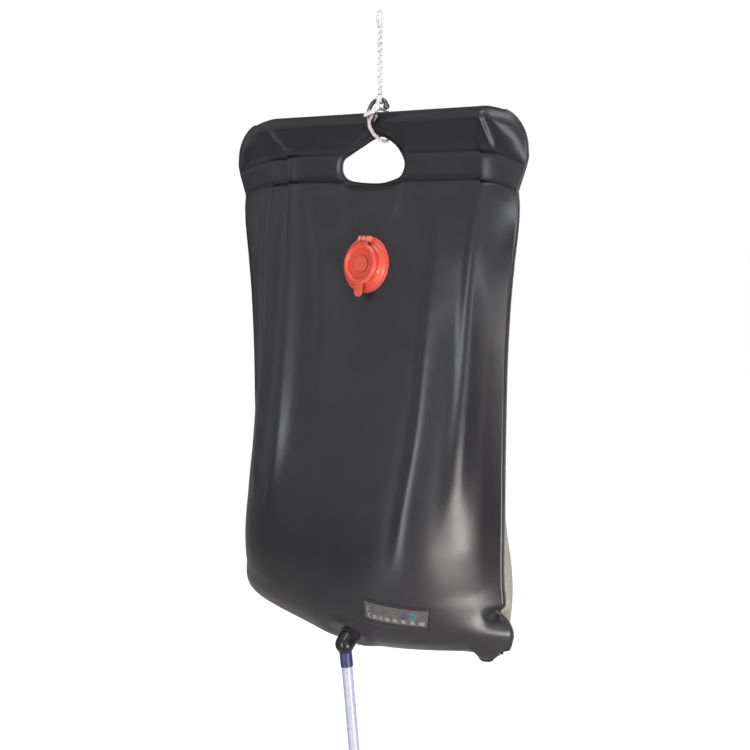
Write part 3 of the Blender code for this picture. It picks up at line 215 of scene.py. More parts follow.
GLYPHS = {
    "0": (((0, 0), (1, 0), (1, 1), (0, 1), (0, 0)),),
    "1": (((0.5, 0), (0.5, 1), (0.25, 0.8)),),
    "2": (((0, 1), (1, 1), (1, 0.5), (0, 0.5), (0, 0), (1, 0)),),
    "3": (((0, 1), (1, 1), (1, 0), (0, 0)), ((0.2, 0.5), (1, 0.5))),
    "4": (((0, 1), (0, 0.4), (1, 0.4)), ((0.75, 1), (0.75, 0))),
    "5": (((1, 1), (0, 1), (0, 0.5), (1, 0.5), (1, 0), (0, 0)),),
    "6": (((1, 1), (0, 1), (0, 0), (1, 0), (1, 0.5), (0, 0.5)),),
    "7": (((0, 1), (1, 1), (0.4, 0)),),
    "8": (((0, 0), (1, 0), (1, 1), (0, 1), (0, 0)), ((0, 0.5), (1, 0.5))),
    "9": (((1, 0.5), (0, 0.5), (0, 1), (1, 1), (1, 0), (0, 0)),),
    "C": (((1, 1), (0, 1), (0, 0), (1, 0)),),
    "F": (((0, 0), (0, 1), (1, 1)), ((0, 0.5), (0.8, 0.5))),
}

# Elbow
ELBOW_AT = Vector((0.011, -0.06514, -0.67165))
ELBOW_WAY = Vector((0.0, -0.7547, -0.6561))
COLLAR_AT = Vector((0.01191, -0.07456, -0.68793))
COLLAR_WAY = Vector((0.1142, 0.0199, -0.9933))
ELBOW_RADIUS = 0.0106
ELBOW_REACH = 0.0125
LEG_RADIUS = 0.007
LEG_INSET = 0.0008
LEG_PAST = 0.0012
BARREL_FOOT = 0.0006
SKIN_STEP = 0.00045

# Cords and hook
CORD_RADIUS = 0.00135
CORD_TOP = -0.0152
CORD_END = -0.08665
CORD_LAY = 0.013
STRAND_LAY = 0.0085
STRAND_DEPTH = 0.1
EYE_COIL = (0.0031, -0.0146, -0.0112, 4, 0.00048)
KNOT_COILS = ((0.003, -0.095, -0.0882, 3, 0.0016), (0.001, -0.0955, -0.0875, 2, 0.0016))
SLING_COILS = ((0.0024, 0.0012, 3, 0.0017), (0.0008, 0, 1, 0.0018))
EYE_ROUTE = ((0.0014, 0, -0.0149), (0.0014, 0, -0.0128), (0.0031, 0, -0.0075), (0.0027, 0, -0.0008),
             (0, 0, 0.00135), (-0.0027, 0, -0.0008), (-0.0031, 0, -0.0075), (-0.0014, 0, -0.0128),
             (-0.0014, 0, -0.0149))
TAIL_ROUTE = ((0.0002, -0.0028, -0.088), (0.0014, -0.005, -0.0925), (0.002, -0.0062, -0.097),
              (0.0012, -0.0068, -0.101), (-0.0035, -0.0072, -0.104), (-0.01, -0.0072, -0.106),
              (-0.0158, -0.006, -0.1072), (-0.018, -0.0034, -0.108))
TAIL_RADIUS = 0.0021
HOOK_ROUTE = (
    (0.0088, -0.0989), (0.0078, -0.0947), (0.0035, -0.0919), (-0.0028, -0.0915), (-0.0092, -0.0941),
    (-0.0138, -0.0993), (-0.0164, -0.1057), (-0.0166, -0.1113), (-0.0132, -0.1147), (-0.0082, -0.1135),
    (-0.0052, -0.1093), (-0.0044, -0.1043),
)
HOOK_WIRE = 0.0022
HOOK_BALL = 0.0035
SLING_ROUTE = (
    (-0.0096, 0.0306, -0.1105), (-0.0097, 0.0302, -0.108), (-0.0103, 0.0262, -0.1033),
    (-0.0107, 0.0195, -0.1005), (-0.0111, 0.0137, -0.0999), (-0.0113, 0.0078, -0.1015),
    (-0.0113, 0.0034, -0.1053), (-0.0113, -0.0002, -0.1093), (-0.0113, -0.0042, -0.1123),
    (-0.011, -0.0054, -0.1165), (-0.0102, -0.0042, -0.1217), (-0.0082, -0.0012, -0.1273),
    (-0.0064, 0.0045, -0.1319), (-0.0056, 0.0115, -0.1349), (-0.006, 0.019, -0.1347),
    (-0.0072, 0.0262, -0.1307), (-0.0084, 0.0302, -0.1241), (-0.0086, 0.0306, -0.1215),
)
SLING_RADIUS = 0.0019

# Hose route from the elbow's barb, as in the CAD source
HOSE_START = Vector((0.01335, -0.07431, -0.70045))
HOSE_RADIUS = 0.006
HOSE_ROUTE = (
    (0.0, 0.0, 0.0), (0.0058, -0.0006, -0.048), (0.011, -0.0008, -0.096),
    (0.0148, -0.0006, -0.145), (0.0166, 0.0, -0.195), (0.0168, 0.0006, -0.245),
    (0.0162, 0.001, -0.295), (0.0158, 0.0012, -0.345), (0.0158, 0.0012, -0.385),
)
HOSE_POINTS = 40

# Limits below which a radius or a distance counts as nothing
TINY = 1e-6
CUT_LIMIT = 1e-5


# Helpers

def catmull(rows, on):
    """Read the rows of a table at fractional places, on a smooth curve."""
    rows = np.asarray(rows, float)
    on = np.clip(np.asarray(on, float), 0, len(rows) - 1)
    low = np.minimum(on.astype(int), len(rows) - 2)
    part = (on - low)[:, None]
    before, start = rows[np.maximum(low - 1, 0)], rows[low]
    end, after = rows[low + 1], rows[np.minimum(low + 2, len(rows) - 1)]
    bend = 3 * (start - end) + after - before
    slope = 2 * before - 5 * start + 4 * end - after
    return start + part * (end - before + part * (slope + part * bend)) / 2


def smooth_step(low, high, value):
    part = np.clip((value - low) / (high - low), 0, 1)
    return part * part * (3 - 2 * part)


def hump(value, at, reach, power=2):
    """A bump of height 1 at a place, which fades over a reach on both sides."""
    return np.exp(-((value - at) / reach) ** power)


def lengths_along(route):
    """Length from a route's start to each of its points."""
    return np.concatenate([[0], np.cumsum(np.linalg.norm(np.diff(route, axis=0), axis=1))])


def even_route(points, count):
    """Even points on the smooth curve through a route's points."""
    fine = catmull(points, np.linspace(0, len(points) - 1, (len(points) - 1) * 24 + 1))
    lengths = lengths_along(fine)
    wanted = np.linspace(0, lengths[-1], count)
    return np.stack([np.interp(wanted, lengths, fine[:, axis]) for axis in range(3)], 1)


def linked(name, data):
    """A new object in the scene."""
    made = bpy.data.objects.new(name, data)
    bpy.context.collection.objects.link(made)
    return made


def mesh_object(name, points, faces, look_name, body, replaces=(), angle=40):
    """A smooth-shaded mesh piece that rides on a body, in the model's frame."""
    mesh = bpy.data.meshes.new(name)
    mesh.from_pydata([tuple(point) for point in points], [], [tuple(face) for face in faces])
    shaped = bmesh.new()
    shaped.from_mesh(mesh)
    bmesh.ops.recalc_face_normals(shaped, faces=shaped.faces)
    shaped.to_mesh(mesh)
    shaped.free()
    mesh.shade_smooth()
    if angle is not None:
        mesh.set_sharp_from_angle(angle=math.radians(angle))
    mesh.materials.append(LOOKS[look_name])
    made = linked(name, mesh)
    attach(made, body)
    if replaces:
        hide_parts(*replaces)
    return made


def rounded(profile, radius, steps=4):
    """Round the corners of a closed outline."""
    corners = np.array(profile)
    ways = [np.roll(corners, turn, axis=0) - corners for turn in (1, -1)]
    made = []
    for here, before, after in zip(corners, *ways):
        one, two = np.linalg.norm(before), np.linalg.norm(after)
        reach = min(radius, 0.45 * one, 0.45 * two)
        if here[0] == 0 or reach < TINY:
            made.append(tuple(here))
            continue
        start, end = here + before / one * reach, here + after / two * reach
        for part in np.linspace(0, 1, steps + 1):
            low, high = start + (here - start) * part, here + (end - here) * part
            made.append(tuple(low + (high - low) * part))
    return made


def lathe(profile, sides):
    """Points and faces of a ring of (radius, height) points turned about Z."""
    turns = [2 * math.pi * side / sides for side in range(sides)]
    points, rings, faces = [], [], []
    for radius, height in profile:
        around = turns if radius > TINY else turns[:1]
        rings.append(range(len(points), len(points) + len(around)))
        points += [(radius * math.cos(turn), radius * math.sin(turn), height) for turn in around]
    for here, there in zip(rings, rings[1:] + rings[:1]):
        for side in range(sides if len(here) + len(there) > 2 else 0):
            places = (side, (side + 1) % sides)
            face = [here[place % len(here)] for place in places]
            face += [there[place % len(there)] for place in places[::-1]]
            faces.append(tuple(dict.fromkeys(face)))
    return points, faces


def band(here, there, count):
    """Faces between two rings of points."""
    after = [(place + 1) % count for place in range(count)]
    return [(here + one, here + two, there + two, there + one) for one, two in enumerate(after)]


def plate_faces(count):
    """Faces of a plate with two equal outlines, one after the other."""
    return [tuple(range(count)), tuple(range(count, 2 * count)), *band(0, count, count)]


def slab(outline, low, high):
    """Points and faces of a plate with an outline in X and Y."""
    return [(x, y, height) for height in (low, high) for x, y in outline], plate_faces(len(outline))


def placed(parts, matrix=Matrix()):
    """Join several (points, faces) pairs and place them with a matrix."""
    points, faces = [], []
    for part_points, part_faces in parts:
        base = len(points)
        points += [matrix @ Vector(point) for point in part_points]
        faces += [tuple(index + base for index in face) for face in part_faces]
    return points, faces


def axes(at, way):
    """Matrix that takes Z to a direction at a place, with X kept near its own direction."""
    ahead = Vector(way).normalized()
    across = (Vector((1, 0, 0)) - ahead * ahead.x).normalized()
    turn = Matrix((across, ahead.cross(across), ahead)).transposed().to_4x4()
    return Matrix.Translation(Vector(at)) @ turn


def arc(centre, radius, start, end, steps):
    angles = [2 * math.pi * (start + (end - start) * step / steps) for step in range(steps + 1)]
    return [(centre[0] + radius * math.cos(a), centre[1] + radius * math.sin(a)) for a in angles]


def ball(radius):
    """Profile of a ball."""
    angles = [math.pi * step / 20 for step in range(21)]
    return [(radius * math.sin(a), -radius * math.cos(a)) for a in angles]


def tube(route, radii, sides=24, relief=None):
    """Points and faces of a round bar along a route. Relief gives a radius share by angle and length."""
    route = np.asarray(route, float)
    count = len(route)
    radii = np.broadcast_to(np.asarray(radii, float), (count,))
    ahead = np.gradient(route, axis=0)
    ahead /= np.linalg.norm(ahead, axis=1)[:, None]
    side_way = np.cross(ahead[0], (0.3, 0.9, 0.2))
    angles = 2 * math.pi * np.arange(sides) / sides
    points, faces = [], []
    for index, length in enumerate(lengths_along(route)):
        side_way = side_way - ahead[index] * side_way.dot(ahead[index])
        side_way /= np.linalg.norm(side_way)
        spokes = np.outer(np.cos(angles), side_way)
        spokes += np.outer(np.sin(angles), np.cross(ahead[index], side_way))
        reach = radii[index] * (relief(angles, length) if relief else np.ones(sides))
        points += list(route[index] + spokes * reach[:, None])
    for low in range(0, (count - 1) * sides, sides):
        faces += band(low, low + sides, sides)
    faces += [tuple(range(first, first + sides)) for first in (0, (count - 1) * sides)]
    return points, faces


# Shader nodes

def fill(tree, node, values):
    """Set a node's inputs to values, or link them to other nodes' outputs."""
    for key, value in values.items():
        if isinstance(value, bpy.types.NodeSocket):
            tree.links.new(value, node.inputs[key])
        else:
            node.inputs[key].default_value = value
    return node


def add_node(tree, kind, values):
    return fill(tree, tree.nodes.new("ShaderNode" + kind), values)


def ranged(tree, value, start, end, curve="LINEAR"):
    """A number taken from one range to another."""
    made = add_node(tree, "MapRange", {"Value": value, "From Min": start[0], "From Max": start[1],
                                       "To Min": end[0], "To Max": end[1]})
    made.interpolation_type = curve
    return made.outputs["Result"]


def worked_out(tree, operation, one, two):
    made = add_node(tree, "Math", {0: one, 1: two})
    made.operation = operation
    return made.outputs[0]


def blended(tree, share, low, high):
    """A number between two others."""
    return add_node(tree, "Mix", {0: share, 2: low, 3: high}).outputs[0]


def seen_by(tree, light, gloss, shown):
    """A strength for lighting rays, for reflections, and for rays that show the background."""
    rays = add_node(tree, "LightPath", {}).outputs
    clear = worked_out(tree, "MAXIMUM", rays["Is Camera Ray"], rays["Is Transmission Ray"])
    return blended(tree, clear, blended(tree, rays["Is Glossy Ray"], light, gloss), shown)


# Materials

def look(name, colour, second, roughness, spread, mottle, grain, depth, metallic=0.0, transmission=0.0,
         sheen=0.0, swell=0, specular=0.5, alpha=1.0):
    """A procedural material: mottled colour, uneven roughness and a fine surface grain."""
    made = bpy.data.materials.new(name)
    made.use_nodes = True
    tree = made.node_tree
    place = add_node(tree, "TexCoord", {}).outputs["Object"]

    def noise(scale, detail, rough=0.55):
        values = {"Scale": scale, "Detail": detail, "Roughness": rough, "Vector": place}
        return add_node(tree, "TexNoise", values).outputs["Fac"]

    ramp = add_node(tree, "ValToRGB", {"Fac": noise(mottle, 4.0)})
    for element, position, tone in zip(ramp.color_ramp.elements, (0.32, 0.68), (colour, second)):
        element.position = position
        element.color = (*tone, 1)
    wear = ranged(tree, noise(mottle * 2.7, 6.0, 0.65), (0.3, 0.7), (roughness - spread, roughness + spread))
    values = {"Strength": 1.0, "Distance": depth / MICRO, "Height": noise(grain, 3.0)}
    bump = add_node(tree, "Bump", values)
    if swell:
        values = {"Strength": 1.0, "Distance": swell / MICRO, "Height": noise(28.0, 2.0)}
        bump = add_node(tree, "Bump", values | {"Normal": bump.outputs["Normal"]})
    fill(tree, tree.nodes["Principled BSDF"], {
        "Base Color": ramp.outputs["Color"], "Roughness": wear, "Normal": bump.outputs["Normal"],
        "Metallic": metallic, "IOR": 1.5, "Specular IOR Level": specular, "Alpha": alpha,
        "Transmission Weight": transmission, "Sheen Weight": sheen,
    })
    return made


# Looks: name, two colours, roughness, its spread, mottle and grain per metre, depth in micrometres, others
MICRO = 1e6
LOOK_TABLE = {
    "film": ("film", (0.0125, 0.0118, 0.0132), (0.016, 0.0152, 0.0168), 0.31, 0.03, 22, 1500, 16,
             ("swell", 300), ("specular", 0.34)),
    "grey": ("grey_film", (0.3, 0.286, 0.245), (0.345, 0.33, 0.288), 0.42, 0.05, 26, 1300, 16,
             ("swell", 600)),
    "orange": ("orange", (0.5, 0.052, 0.026), (0.57, 0.068, 0.034), 0.25, 0.05, 90, 1100, 20),
    # pale: the cap strap's orange made lighter, a painted highlight on its ribs
    "pale": ("orange_painted_highlight", (0.62, 0.16, 0.1), (0.7, 0.24, 0.17), 0.22, 0.05, 90, 1100, 20),
    "gloss": ("gloss_black", (0.007, 0.0068, 0.0072), (0.01, 0.0098, 0.0102), 0.17, 0.04, 120, 1400, 10,
              ("specular", 0.3)),
    "plastic": ("plastic_black", (0.02, 0.02, 0.022), (0.029, 0.029, 0.031), 0.38, 0.07, 90, 1000, 30),
    "white": ("plastic_white", (0.72, 0.72, 0.7), (0.79, 0.79, 0.775), 0.38, 0.06, 80, 900, 20),
    "violet": ("violet", (0.022, 0.018, 0.08), (0.032, 0.027, 0.112), 0.42, 0.05, 120, 900, 20,
               ("specular", 0.3)),
    "rubber": ("rubber", (0.02, 0.02, 0.02), (0.034, 0.033, 0.032), 0.72, 0.08, 150, 1400, 40),
    "steel": ("steel", (0.06, 0.06, 0.063), (0.105, 0.102, 0.1), 0.3, 0.1, 200, 1800, 10, ("metallic", 1.0)),
    "tube": ("rod_tube", (0.56, 0.56, 0.54), (0.64, 0.64, 0.62), 0.46, 0.08, 60, 800, 30),
    "hose": ("hose_film", (0.37, 0.37, 0.48), (0.4, 0.4, 0.51), 0.26, 0.05, 60, 700, 10,
             ("transmission", 0.1), ("specular", 0.35)),
    "cord": ("cord_fibre", (0.52, 0.51, 0.5), (0.64, 0.63, 0.62), 0.86, 0.06, 300, 3800, 120,
             ("sheen", 0.35)),
    # sling: the white cord painted a darker pinkish grey, painted shade where it lies on the bag
    "sling": ("sling_fibre_painted_shade", (0.4, 0.35, 0.34), (0.5, 0.45, 0.44), 0.86, 0.06, 300, 3800, 120,
              ("sheen", 0.2)),
    "strip": ("strip_card", (0.062, 0.051, 0.047), (0.08, 0.067, 0.062), 0.3, 0.04, 140, 400, 4),
    "clear": ("clear_film", (0.1, 0.1, 0.11), (0.14, 0.14, 0.15), 0.12, 0.03, 60, 500, 10, ("alpha", 0.08)),
    "print": ("print_white", (0.55, 0.54, 0.52), (0.66, 0.65, 0.63), 0.5, 0.05, 400, 2500, 10),
    "teal": ("print_teal", (0.008, 0.115, 0.105), (0.012, 0.165, 0.15), 0.35, 0.05, 500, 2500, 10),
    "faint": ("print_faint", (0.03, 0.028, 0.055), (0.04, 0.037, 0.072), 0.3, 0.04, 500, 2500, 10),
    "cell": ("print_cell", (0.04, 0.034, 0.034), (0.052, 0.045, 0.046), 0.28, 0.05, 300, 2000, 10),
}
LOOKS = {key: look(*row[:8], **dict(row[8:])) for key, row in LOOK_TABLE.items()}


# Camera, light and floor

def aimed(name, data, at, way):
    """A camera or a lamp that looks along a direction."""
    made = linked(name, data)
    made.location = at
    made.rotation_mode = "QUATERNION"
    made.rotation_quaternion = way.to_track_quat("-Z", "Y")
    return made


def make_camera():
    lens = bpy.data.cameras.new("camera")
    lens.lens = CAMERA_LENS
    lens.sensor_width = CAMERA_SENSOR
    bpy.context.scene.camera = aimed("camera", lens, CAMERA_AT, Vector(CAMERA_TO) - Vector(CAMERA_AT))
    bpy.context.scene.view_settings.view_transform = "Standard"


def make_floor():
    """The floor under the bag, pale to the camera and dark in reflections."""
    mesh = bpy.data.meshes.new("floor")
    corners = [(x * FLOOR_HALF, y * FLOOR_HALF, FLOOR_Z) for x, y in ((-1, -1), (1, -1), (1, 1), (-1, 1))]
    mesh.from_pydata(corners, [], [(0, 1, 2, 3)])
    floor = linked("floor", mesh)
    made = bpy.data.materials.new("floor")
    made.use_nodes = True
    tree = made.node_tree
    tree.nodes.remove(tree.nodes["Principled BSDF"])
    matt = add_node(tree, "BsdfDiffuse", {"Color": FLOOR_COLOUR})
    strength = seen_by(tree, 0.0, FLOOR_MIRRORED, FLOOR_GLOW)
    glow = add_node(tree, "Emission", {"Color": (1, 1, 1, 1), "Strength": strength})
    both = add_node(tree, "AddShader", {0: matt.outputs[0], 1: glow.outputs[0]})
    fill(tree, tree.nodes["Material Output"], {"Surface": both.outputs[0]})
    mesh.materials.append(made)


def make_world():
    """The light of the room. Reflections show it weaker on the left and behind the bag."""
    world = bpy.data.worlds.new("studio")
    bpy.context.scene.world = world
    world.use_nodes = True
    tree = world.node_tree
    place = add_node(tree, "TexCoord", {}).outputs["Generated"]
    parts = add_node(tree, "SeparateXYZ", {"Vector": place}).outputs
    across = ranged(tree, parts["X"], ROOM_TURN, (ROOM_LEFT, ROOM_RIGHT), "SMOOTHSTEP")
    rear = ranged(tree, parts["Y"], REAR_TURN, (1.0, ROOM_REAR), "SMOOTHSTEP")
    strength = seen_by(tree, WORLD_LIGHT, worked_out(tree, "MULTIPLY", across, rear), ROOM_SHOWN)
    fill(tree, tree.nodes["Background"], {"Color": ROOM_COLOUR, "Strength": strength})


def softbox(name, azimuth, elevation, distance, size, power, colour):
    """A soft lamp that looks at the bag's middle. Azimuth 0 is in front, 90 to the right."""
    turn, rise = math.radians(azimuth), math.radians(elevation)
    back = Vector((math.sin(turn) * math.cos(rise), -math.cos(turn) * math.cos(rise), math.sin(rise)))
    lamp = bpy.data.lights.new(name, "AREA")
    lamp.shape = "RECTANGLE"
    lamp.size, lamp.size_y = size
    lamp.energy = power
    lamp.color = colour
    aimed(name, lamp, LAMP_TARGET + back * distance, -back)


# Bag

def sections(drops, belly):
    """Depth, half width and fullness of the chamber at each drop."""
    share = (drops - WELD_DROP) / CHAMBER_HEIGHT
    on = np.interp(share, CHAMBER[:, 0], np.arange(len(CHAMBER)))
    table = catmull(CHAMBER[:, 1:], on)
    return FILM_BASE + belly * table[:, 0], HALF_WIDTH * table[:, 1], table[:, 2]


def head_half(drops):
    half = HALF_WIDTH * np.interp(drops / WELD_DROP, HEAD_WIDTHS[:, 0], HEAD_WIDTHS[:, 1])
    short = np.clip(CORNER_RADIUS - drops, 0, CORNER_RADIUS)
    return half - (CORNER_RADIUS - np.sqrt(CORNER_RADIUS ** 2 - short ** 2))


def near_weld(level):
    """Row levels that draw a weld's groove finely."""
    return np.concatenate([level - WELD_ROWS[::-1], [level], level + WELD_ROWS])


def film_rows(belly):
    """Depth, drop, half width and fullness of all rows, top to bottom."""
    to_weld = math.acos(SLEEVE_OUTER / (SLEEVE_HEIGHT - SLEEVE_OUTER))
    angles = np.linspace(math.asin(FILM_BASE / SLEEVE_OUTER), math.pi - to_weld, 34)
    out = SLEEVE_OUTER * np.sin(angles)
    drop = SLEEVE_OUTER * (1 - np.cos(angles))
    upper, lower = near_weld(SLEEVE_HEIGHT), near_weld(WELD_DROP)
    middle = len(upper) // 2
    fall = np.linspace(drop[-1] + ROW_GAP, upper[0] - ROW_GAP, 11)
    fall = np.concatenate([fall, upper[:middle + 1]])
    part = (fall - drop[-1]) / (SLEEVE_HEIGHT - drop[-1])
    sag = (1 - TUCK_SHARE) * (1 - part) + TUCK_SHARE * (1 - part ** TUCK_POWER)
    out = np.concatenate([out, FILM_BASE + (out[-1] - FILM_BASE) * sag])
    strip = np.linspace(upper[-1] + STRIP_GAP, lower[0] - STRIP_GAP, 10)
    strip = np.concatenate([upper[middle + 1:], strip, lower[:middle + 1]])
    puffed = 1 - np.abs(2 * (strip - SLEEVE_HEIGHT) / STRIP_HEIGHT - 1) ** STRIP_POWER
    out = np.concatenate([out, FILM_BASE + STRIP_PUFF * puffed])
    drop = np.concatenate([drop, fall, strip])
    half = head_half(drop)
    full = np.where(drop <= SLEEVE_HEIGHT, SLEEVE_FULL, STRIP_FULL)
    share = np.linspace(0, 1, CHAMBER_ROWS)
    share = share + 0.018 * np.sin(2 * math.pi * share)
    low = WELD_DROP + CHAMBER_HEIGHT * share
    low = np.concatenate([lower[middle + 1:], low[low > lower[-1] + ROW_GAP]])
    low[-1] = WELD_DROP + CHAMBER_HEIGHT
    below = sections(low, belly)
    start = low - WELD_DROP
    brow = BROW_OUT * (1 - np.exp(-start / BROW_RISE)) * np.exp(-start / BROW_FADE)
    lower_rows = (below[0] + brow, low, *below[1:])
    return [np.concatenate(pair) for pair in zip((out, drop, half, full), lower_rows)]


def film_height(across, half, drop):
    """Height of a film point: past the rod it droops, and the bottom corners lift."""
    side = np.where(across < 0, -1, 1)
    start = ROD_REACH + side * ROD_AT_X
    beyond = np.maximum(np.abs(across) - start, 0) / (HALF_WIDTH - start)
    below = np.maximum(drop - WELD_DROP, 0) / CHAMBER_HEIGHT
    droop = SHOULDER_DROOP * beyond ** 1.5 * np.maximum(1 - 2 * below, 0)
    near = smooth_step(*STEP_START, drop) * (1 - smooth_step(*STEP_END, drop))
    step = WELD_STEP * near * np.where(across < 0, 1 - smooth_step(*STEP_LEFT, across),
                                       smooth_step(*STEP_RIGHT, across))
    risen = np.maximum(below - 0.45, 0) / 0.55
    share = np.abs(across / half)
    left = (share ** 2 + LIFT_SOFT ** 2) ** (LEFT_POWER / 2) - LIFT_SOFT ** LEFT_POWER
    lift = np.where(across < 0, LEFT_LIFT * left * risen ** LEFT_RISE,
                    RIGHT_LIFT * share ** 1.6 * risen ** 2)
    return lift - droop - step - drop


def facing(tilt):
    """The direction out of the front film, tilted up by an angle."""
    return Vector((0, -math.cos(tilt), math.sin(tilt)))


# Folds of the front film: (drop, x of the crest, height, width to the left, width to the right), in mm
FRONT_FOLDS = (
    # the deep fold from the rod's left end
    ((40, -116, 1.6, 3, 7), (60, -115.5, 2.4, 3, 7), (74, -114, 2.8, 3.5, 7), (100, -105, 5.6, 4, 9),
     (140, -92.5, 8.4, 4.5, 10.5), (180, -83, 9.6, 5, 11), (220, -77, 10, 5, 11.5),
     (260, -72.5, 10.2, 5, 11.5), (300, -68.5, 10.2, 5, 11.5), (340, -65.5, 9.8, 5, 11.5),
     (380, -65.5, 8, 5, 11.5), (410, -68, 5.6, 6, 12), (440, -73, 2.6, 7, 12), (465, -80, 0, 8, 13)),
    # ridges left of it
    ((40, -142, 1.4, 3, 7), (60, -141, 2.2, 3, 7), (74, -140, 2.6, 3.5, 8), (100, -136, 4.8, 4, 9),
     (160, -129, 7.4, 5, 10), (220, -122, 8.8, 5, 10.5), (280, -115, 9, 5, 10.5), (340, -110, 8, 5, 10.5),
     (400, -107, 5, 6, 11), (450, -107, 0, 8, 12)),
    ((84, -160, 0.8, 3, 5), (140, -154, 2.8, 3, 6), (160, -152, 3.4, 3, 6), (200, -147, 3.6, 3, 6),
     (220, -142, 3.4, 3, 6), (250, -136, 2.8, 3, 6), (270, -130, 2, 3, 6), (300, -124, 0, 4, 6)),
    ((150, -182, 1.2, 3, 5), (200, -179, 2.6, 3, 5), (260, -173, 3, 3, 5), (290, -166, 2.6, 3, 5),
     (310, -153, 1.8, 3, 5), (335, -141, 0, 4, 5)),
    # soft swell right of the deep fold
    ((86, -78, 1.5, 12, 16), (120, -60, 3, 13, 18), (160, -39, 3.6, 14, 20), (200, -28, 3.6, 14, 22),
     (240, -22, 3.2, 14, 24), (280, -17, 2.6, 14, 24), (330, -20, 1.2, 14, 24), (370, -24, 0, 14, 24)),
    # right ridges
    ((120, 112, 1, 6, 20), (160, 115, 2.8, 6, 22), (200, 117, 4.8, 6.5, 24), (240, 118.5, 6.6, 7, 26),
     (280, 120, 8, 7, 28), (320, 121, 8.8, 7.5, 29), (360, 120, 8.8, 7.5, 29), (400, 117.5, 7.6, 8, 28),
     (440, 115.5, 5.4, 9, 26), (480, 114, 2.6, 11, 24), (515, 113, 0, 13, 22)),
    ((34, 151, 1.4, 3.5, 7), (60, 151.5, 2.4, 3.5, 8), (74, 152, 2.4, 3.5, 8), (100, 152.5, 3.6, 4, 9),
     (160, 153.5, 4.6, 5, 9), (220, 154, 5.6, 6, 9), (280, 154.5, 6.4, 6, 8), (340, 153.5, 6.4, 6.5, 8),
     (390, 152.5, 4, 7, 8), (430, 151, 1.2, 8, 9), (460, 150, 0, 8, 10)),
    ((320, 162, 0, 8, 12), (360, 162, 1, 9, 14), (400, 163, 3.2, 11, 18), (430, 164, 4.4, 12, 22),
     (460, 165, 4.2, 13, 24), (490, 166, 2.2, 14, 24), (520, 166, 0, 15, 24)),
    # bulge under the hand hole and the creases from its ends
    ((76, 6, 1.6, 20, 20), (86, 8, 3.6, 21, 21), (98, 10, 3.2, 20, 20), (115, 12, 1.2, 18, 18),
     (130, 13, 0, 16, 16)),
    ((80, -42, 1.2, 3.5, 6), (95, -30, 1.8, 3.5, 6), (110, -17, 1.3, 3.5, 6), (128, -3, 0, 4, 6)),
    ((78, 44, 1, 6, 5), (100, 46, 1.4, 6, 5), (130, 48, 0, 6, 5)),
    # creases of the sleeve past the rod's ends
    ((10, -145, 0, 2, 2.2), (17, -143, 1.2, 2, 2.2), (30, -137, 1.6, 2, 2.4), (42, -130, 1.2, 2.4, 3)),
    ((12, -143, 0, 2, 2.2), (18, -140, 1, 2, 2.2), (30, -130, 1.5, 2, 2.4), (42, -121, 1.4, 2.4, 3)),
    ((3, 153, 0.2, 2.6, 2.6), (11, 154, 2.4, 2.4, 2.8), (22, 158, 2.8, 2.2, 2.8), (34, 162, 1.8, 2.2, 3),
     (43, 165, 0.6, 2.4, 3.2)),
    ((4, 162, 0.3, 5, 7), (11, 167, 2, 6, 8), (18, 174, 1.8, 8, 9), (30, 180, 0, 9, 10)),
    ((12, -170, 0, 16, 16), (24, -170, 1.8, 16, 18), (38, -168, 0.8, 16, 18)),
)
REAR_FOLDS = (
    ((40, -116, 1.2, 5, 10), (76, -118, 2, 6, 12), (120, -108, 4.4, 6, 14), (200, -92, 6.6, 7, 17),
     (300, -78, 6.8, 7, 17), (380, -72, 4.4, 8, 15), (450, -72, 0, 9, 14)),
    ((40, -146, 1, 4, 8), (76, -146, 1.6, 5, 8), (140, -142, 3.6, 5, 9), (240, -136, 4.2, 5, 10),
     (340, -128, 3.4, 6, 10), (430, -126, 0, 8, 10)),
    ((90, -58, 0.8, 12, 12), (160, -40, 2.4, 14, 16), (260, -26, 2.4, 16, 18), (360, -20, 0, 16, 18)),
    ((90, 60, 0.7, 14, 12), (160, 48, 2.2, 16, 13), (250, 40, 2.2, 18, 14), (350, 36, 0, 18, 14)),
    ((76, 118, 1.2, 12, 6), (130, 108, 4.2, 14, 6), (220, 98, 6, 16, 6), (320, 92, 5.8, 16, 7),
     (400, 90, 3.2, 14, 8), (460, 92, 0, 13, 9)),
    ((40, 150, 1.2, 6, 3.5), (76, 150, 1.6, 7, 3.5), (140, 148, 3.6, 8, 4), (240, 146, 4.2, 8, 4),
     (340, 144, 3.8, 8, 5), (430, 146, 0, 8, 6)),
)


def relief(folds, across, drop):
    """Height of all folds at each point of the film."""
    found = np.zeros_like(across)
    levels = drop[:, 0]
    for fold in folds:
        table = np.array(fold, float) / 1000
        on = np.interp(levels, table[:, 0], np.arange(len(table)))
        crest, high, left, right = catmull(table[:, 1:], on).T[:, :, None]
        shown = smooth_step(table[0, 0] - FOLD_START, table[0, 0], levels)
        shown *= 1 - smooth_step(table[-1, 0], table[-1, 0] + FOLD_END, levels)
        high = np.maximum(high, 0) * shown[:, None]
        away = across - crest
        far = np.sqrt(away ** 2 + CREST_ROUND ** 2) - CREST_ROUND
        steep = 0.6 * hump(far, 0, left, 2.2) + 0.4 * hump(far, 0, 4 * left, 1.7)
        found += high * np.where(away < 0, steep, hump(far, 0, right, 1.35))
    return found


def hole_outline():
    shares = np.array(HOLE_SHARES)
    ring = np.concatenate([shares[-1:], shares, shares[:2]])
    fine = catmull(ring, 1 + np.linspace(0, len(shares), 140, endpoint=False))
    return fine * HOLE_SIZE + HOLE_CENTRE


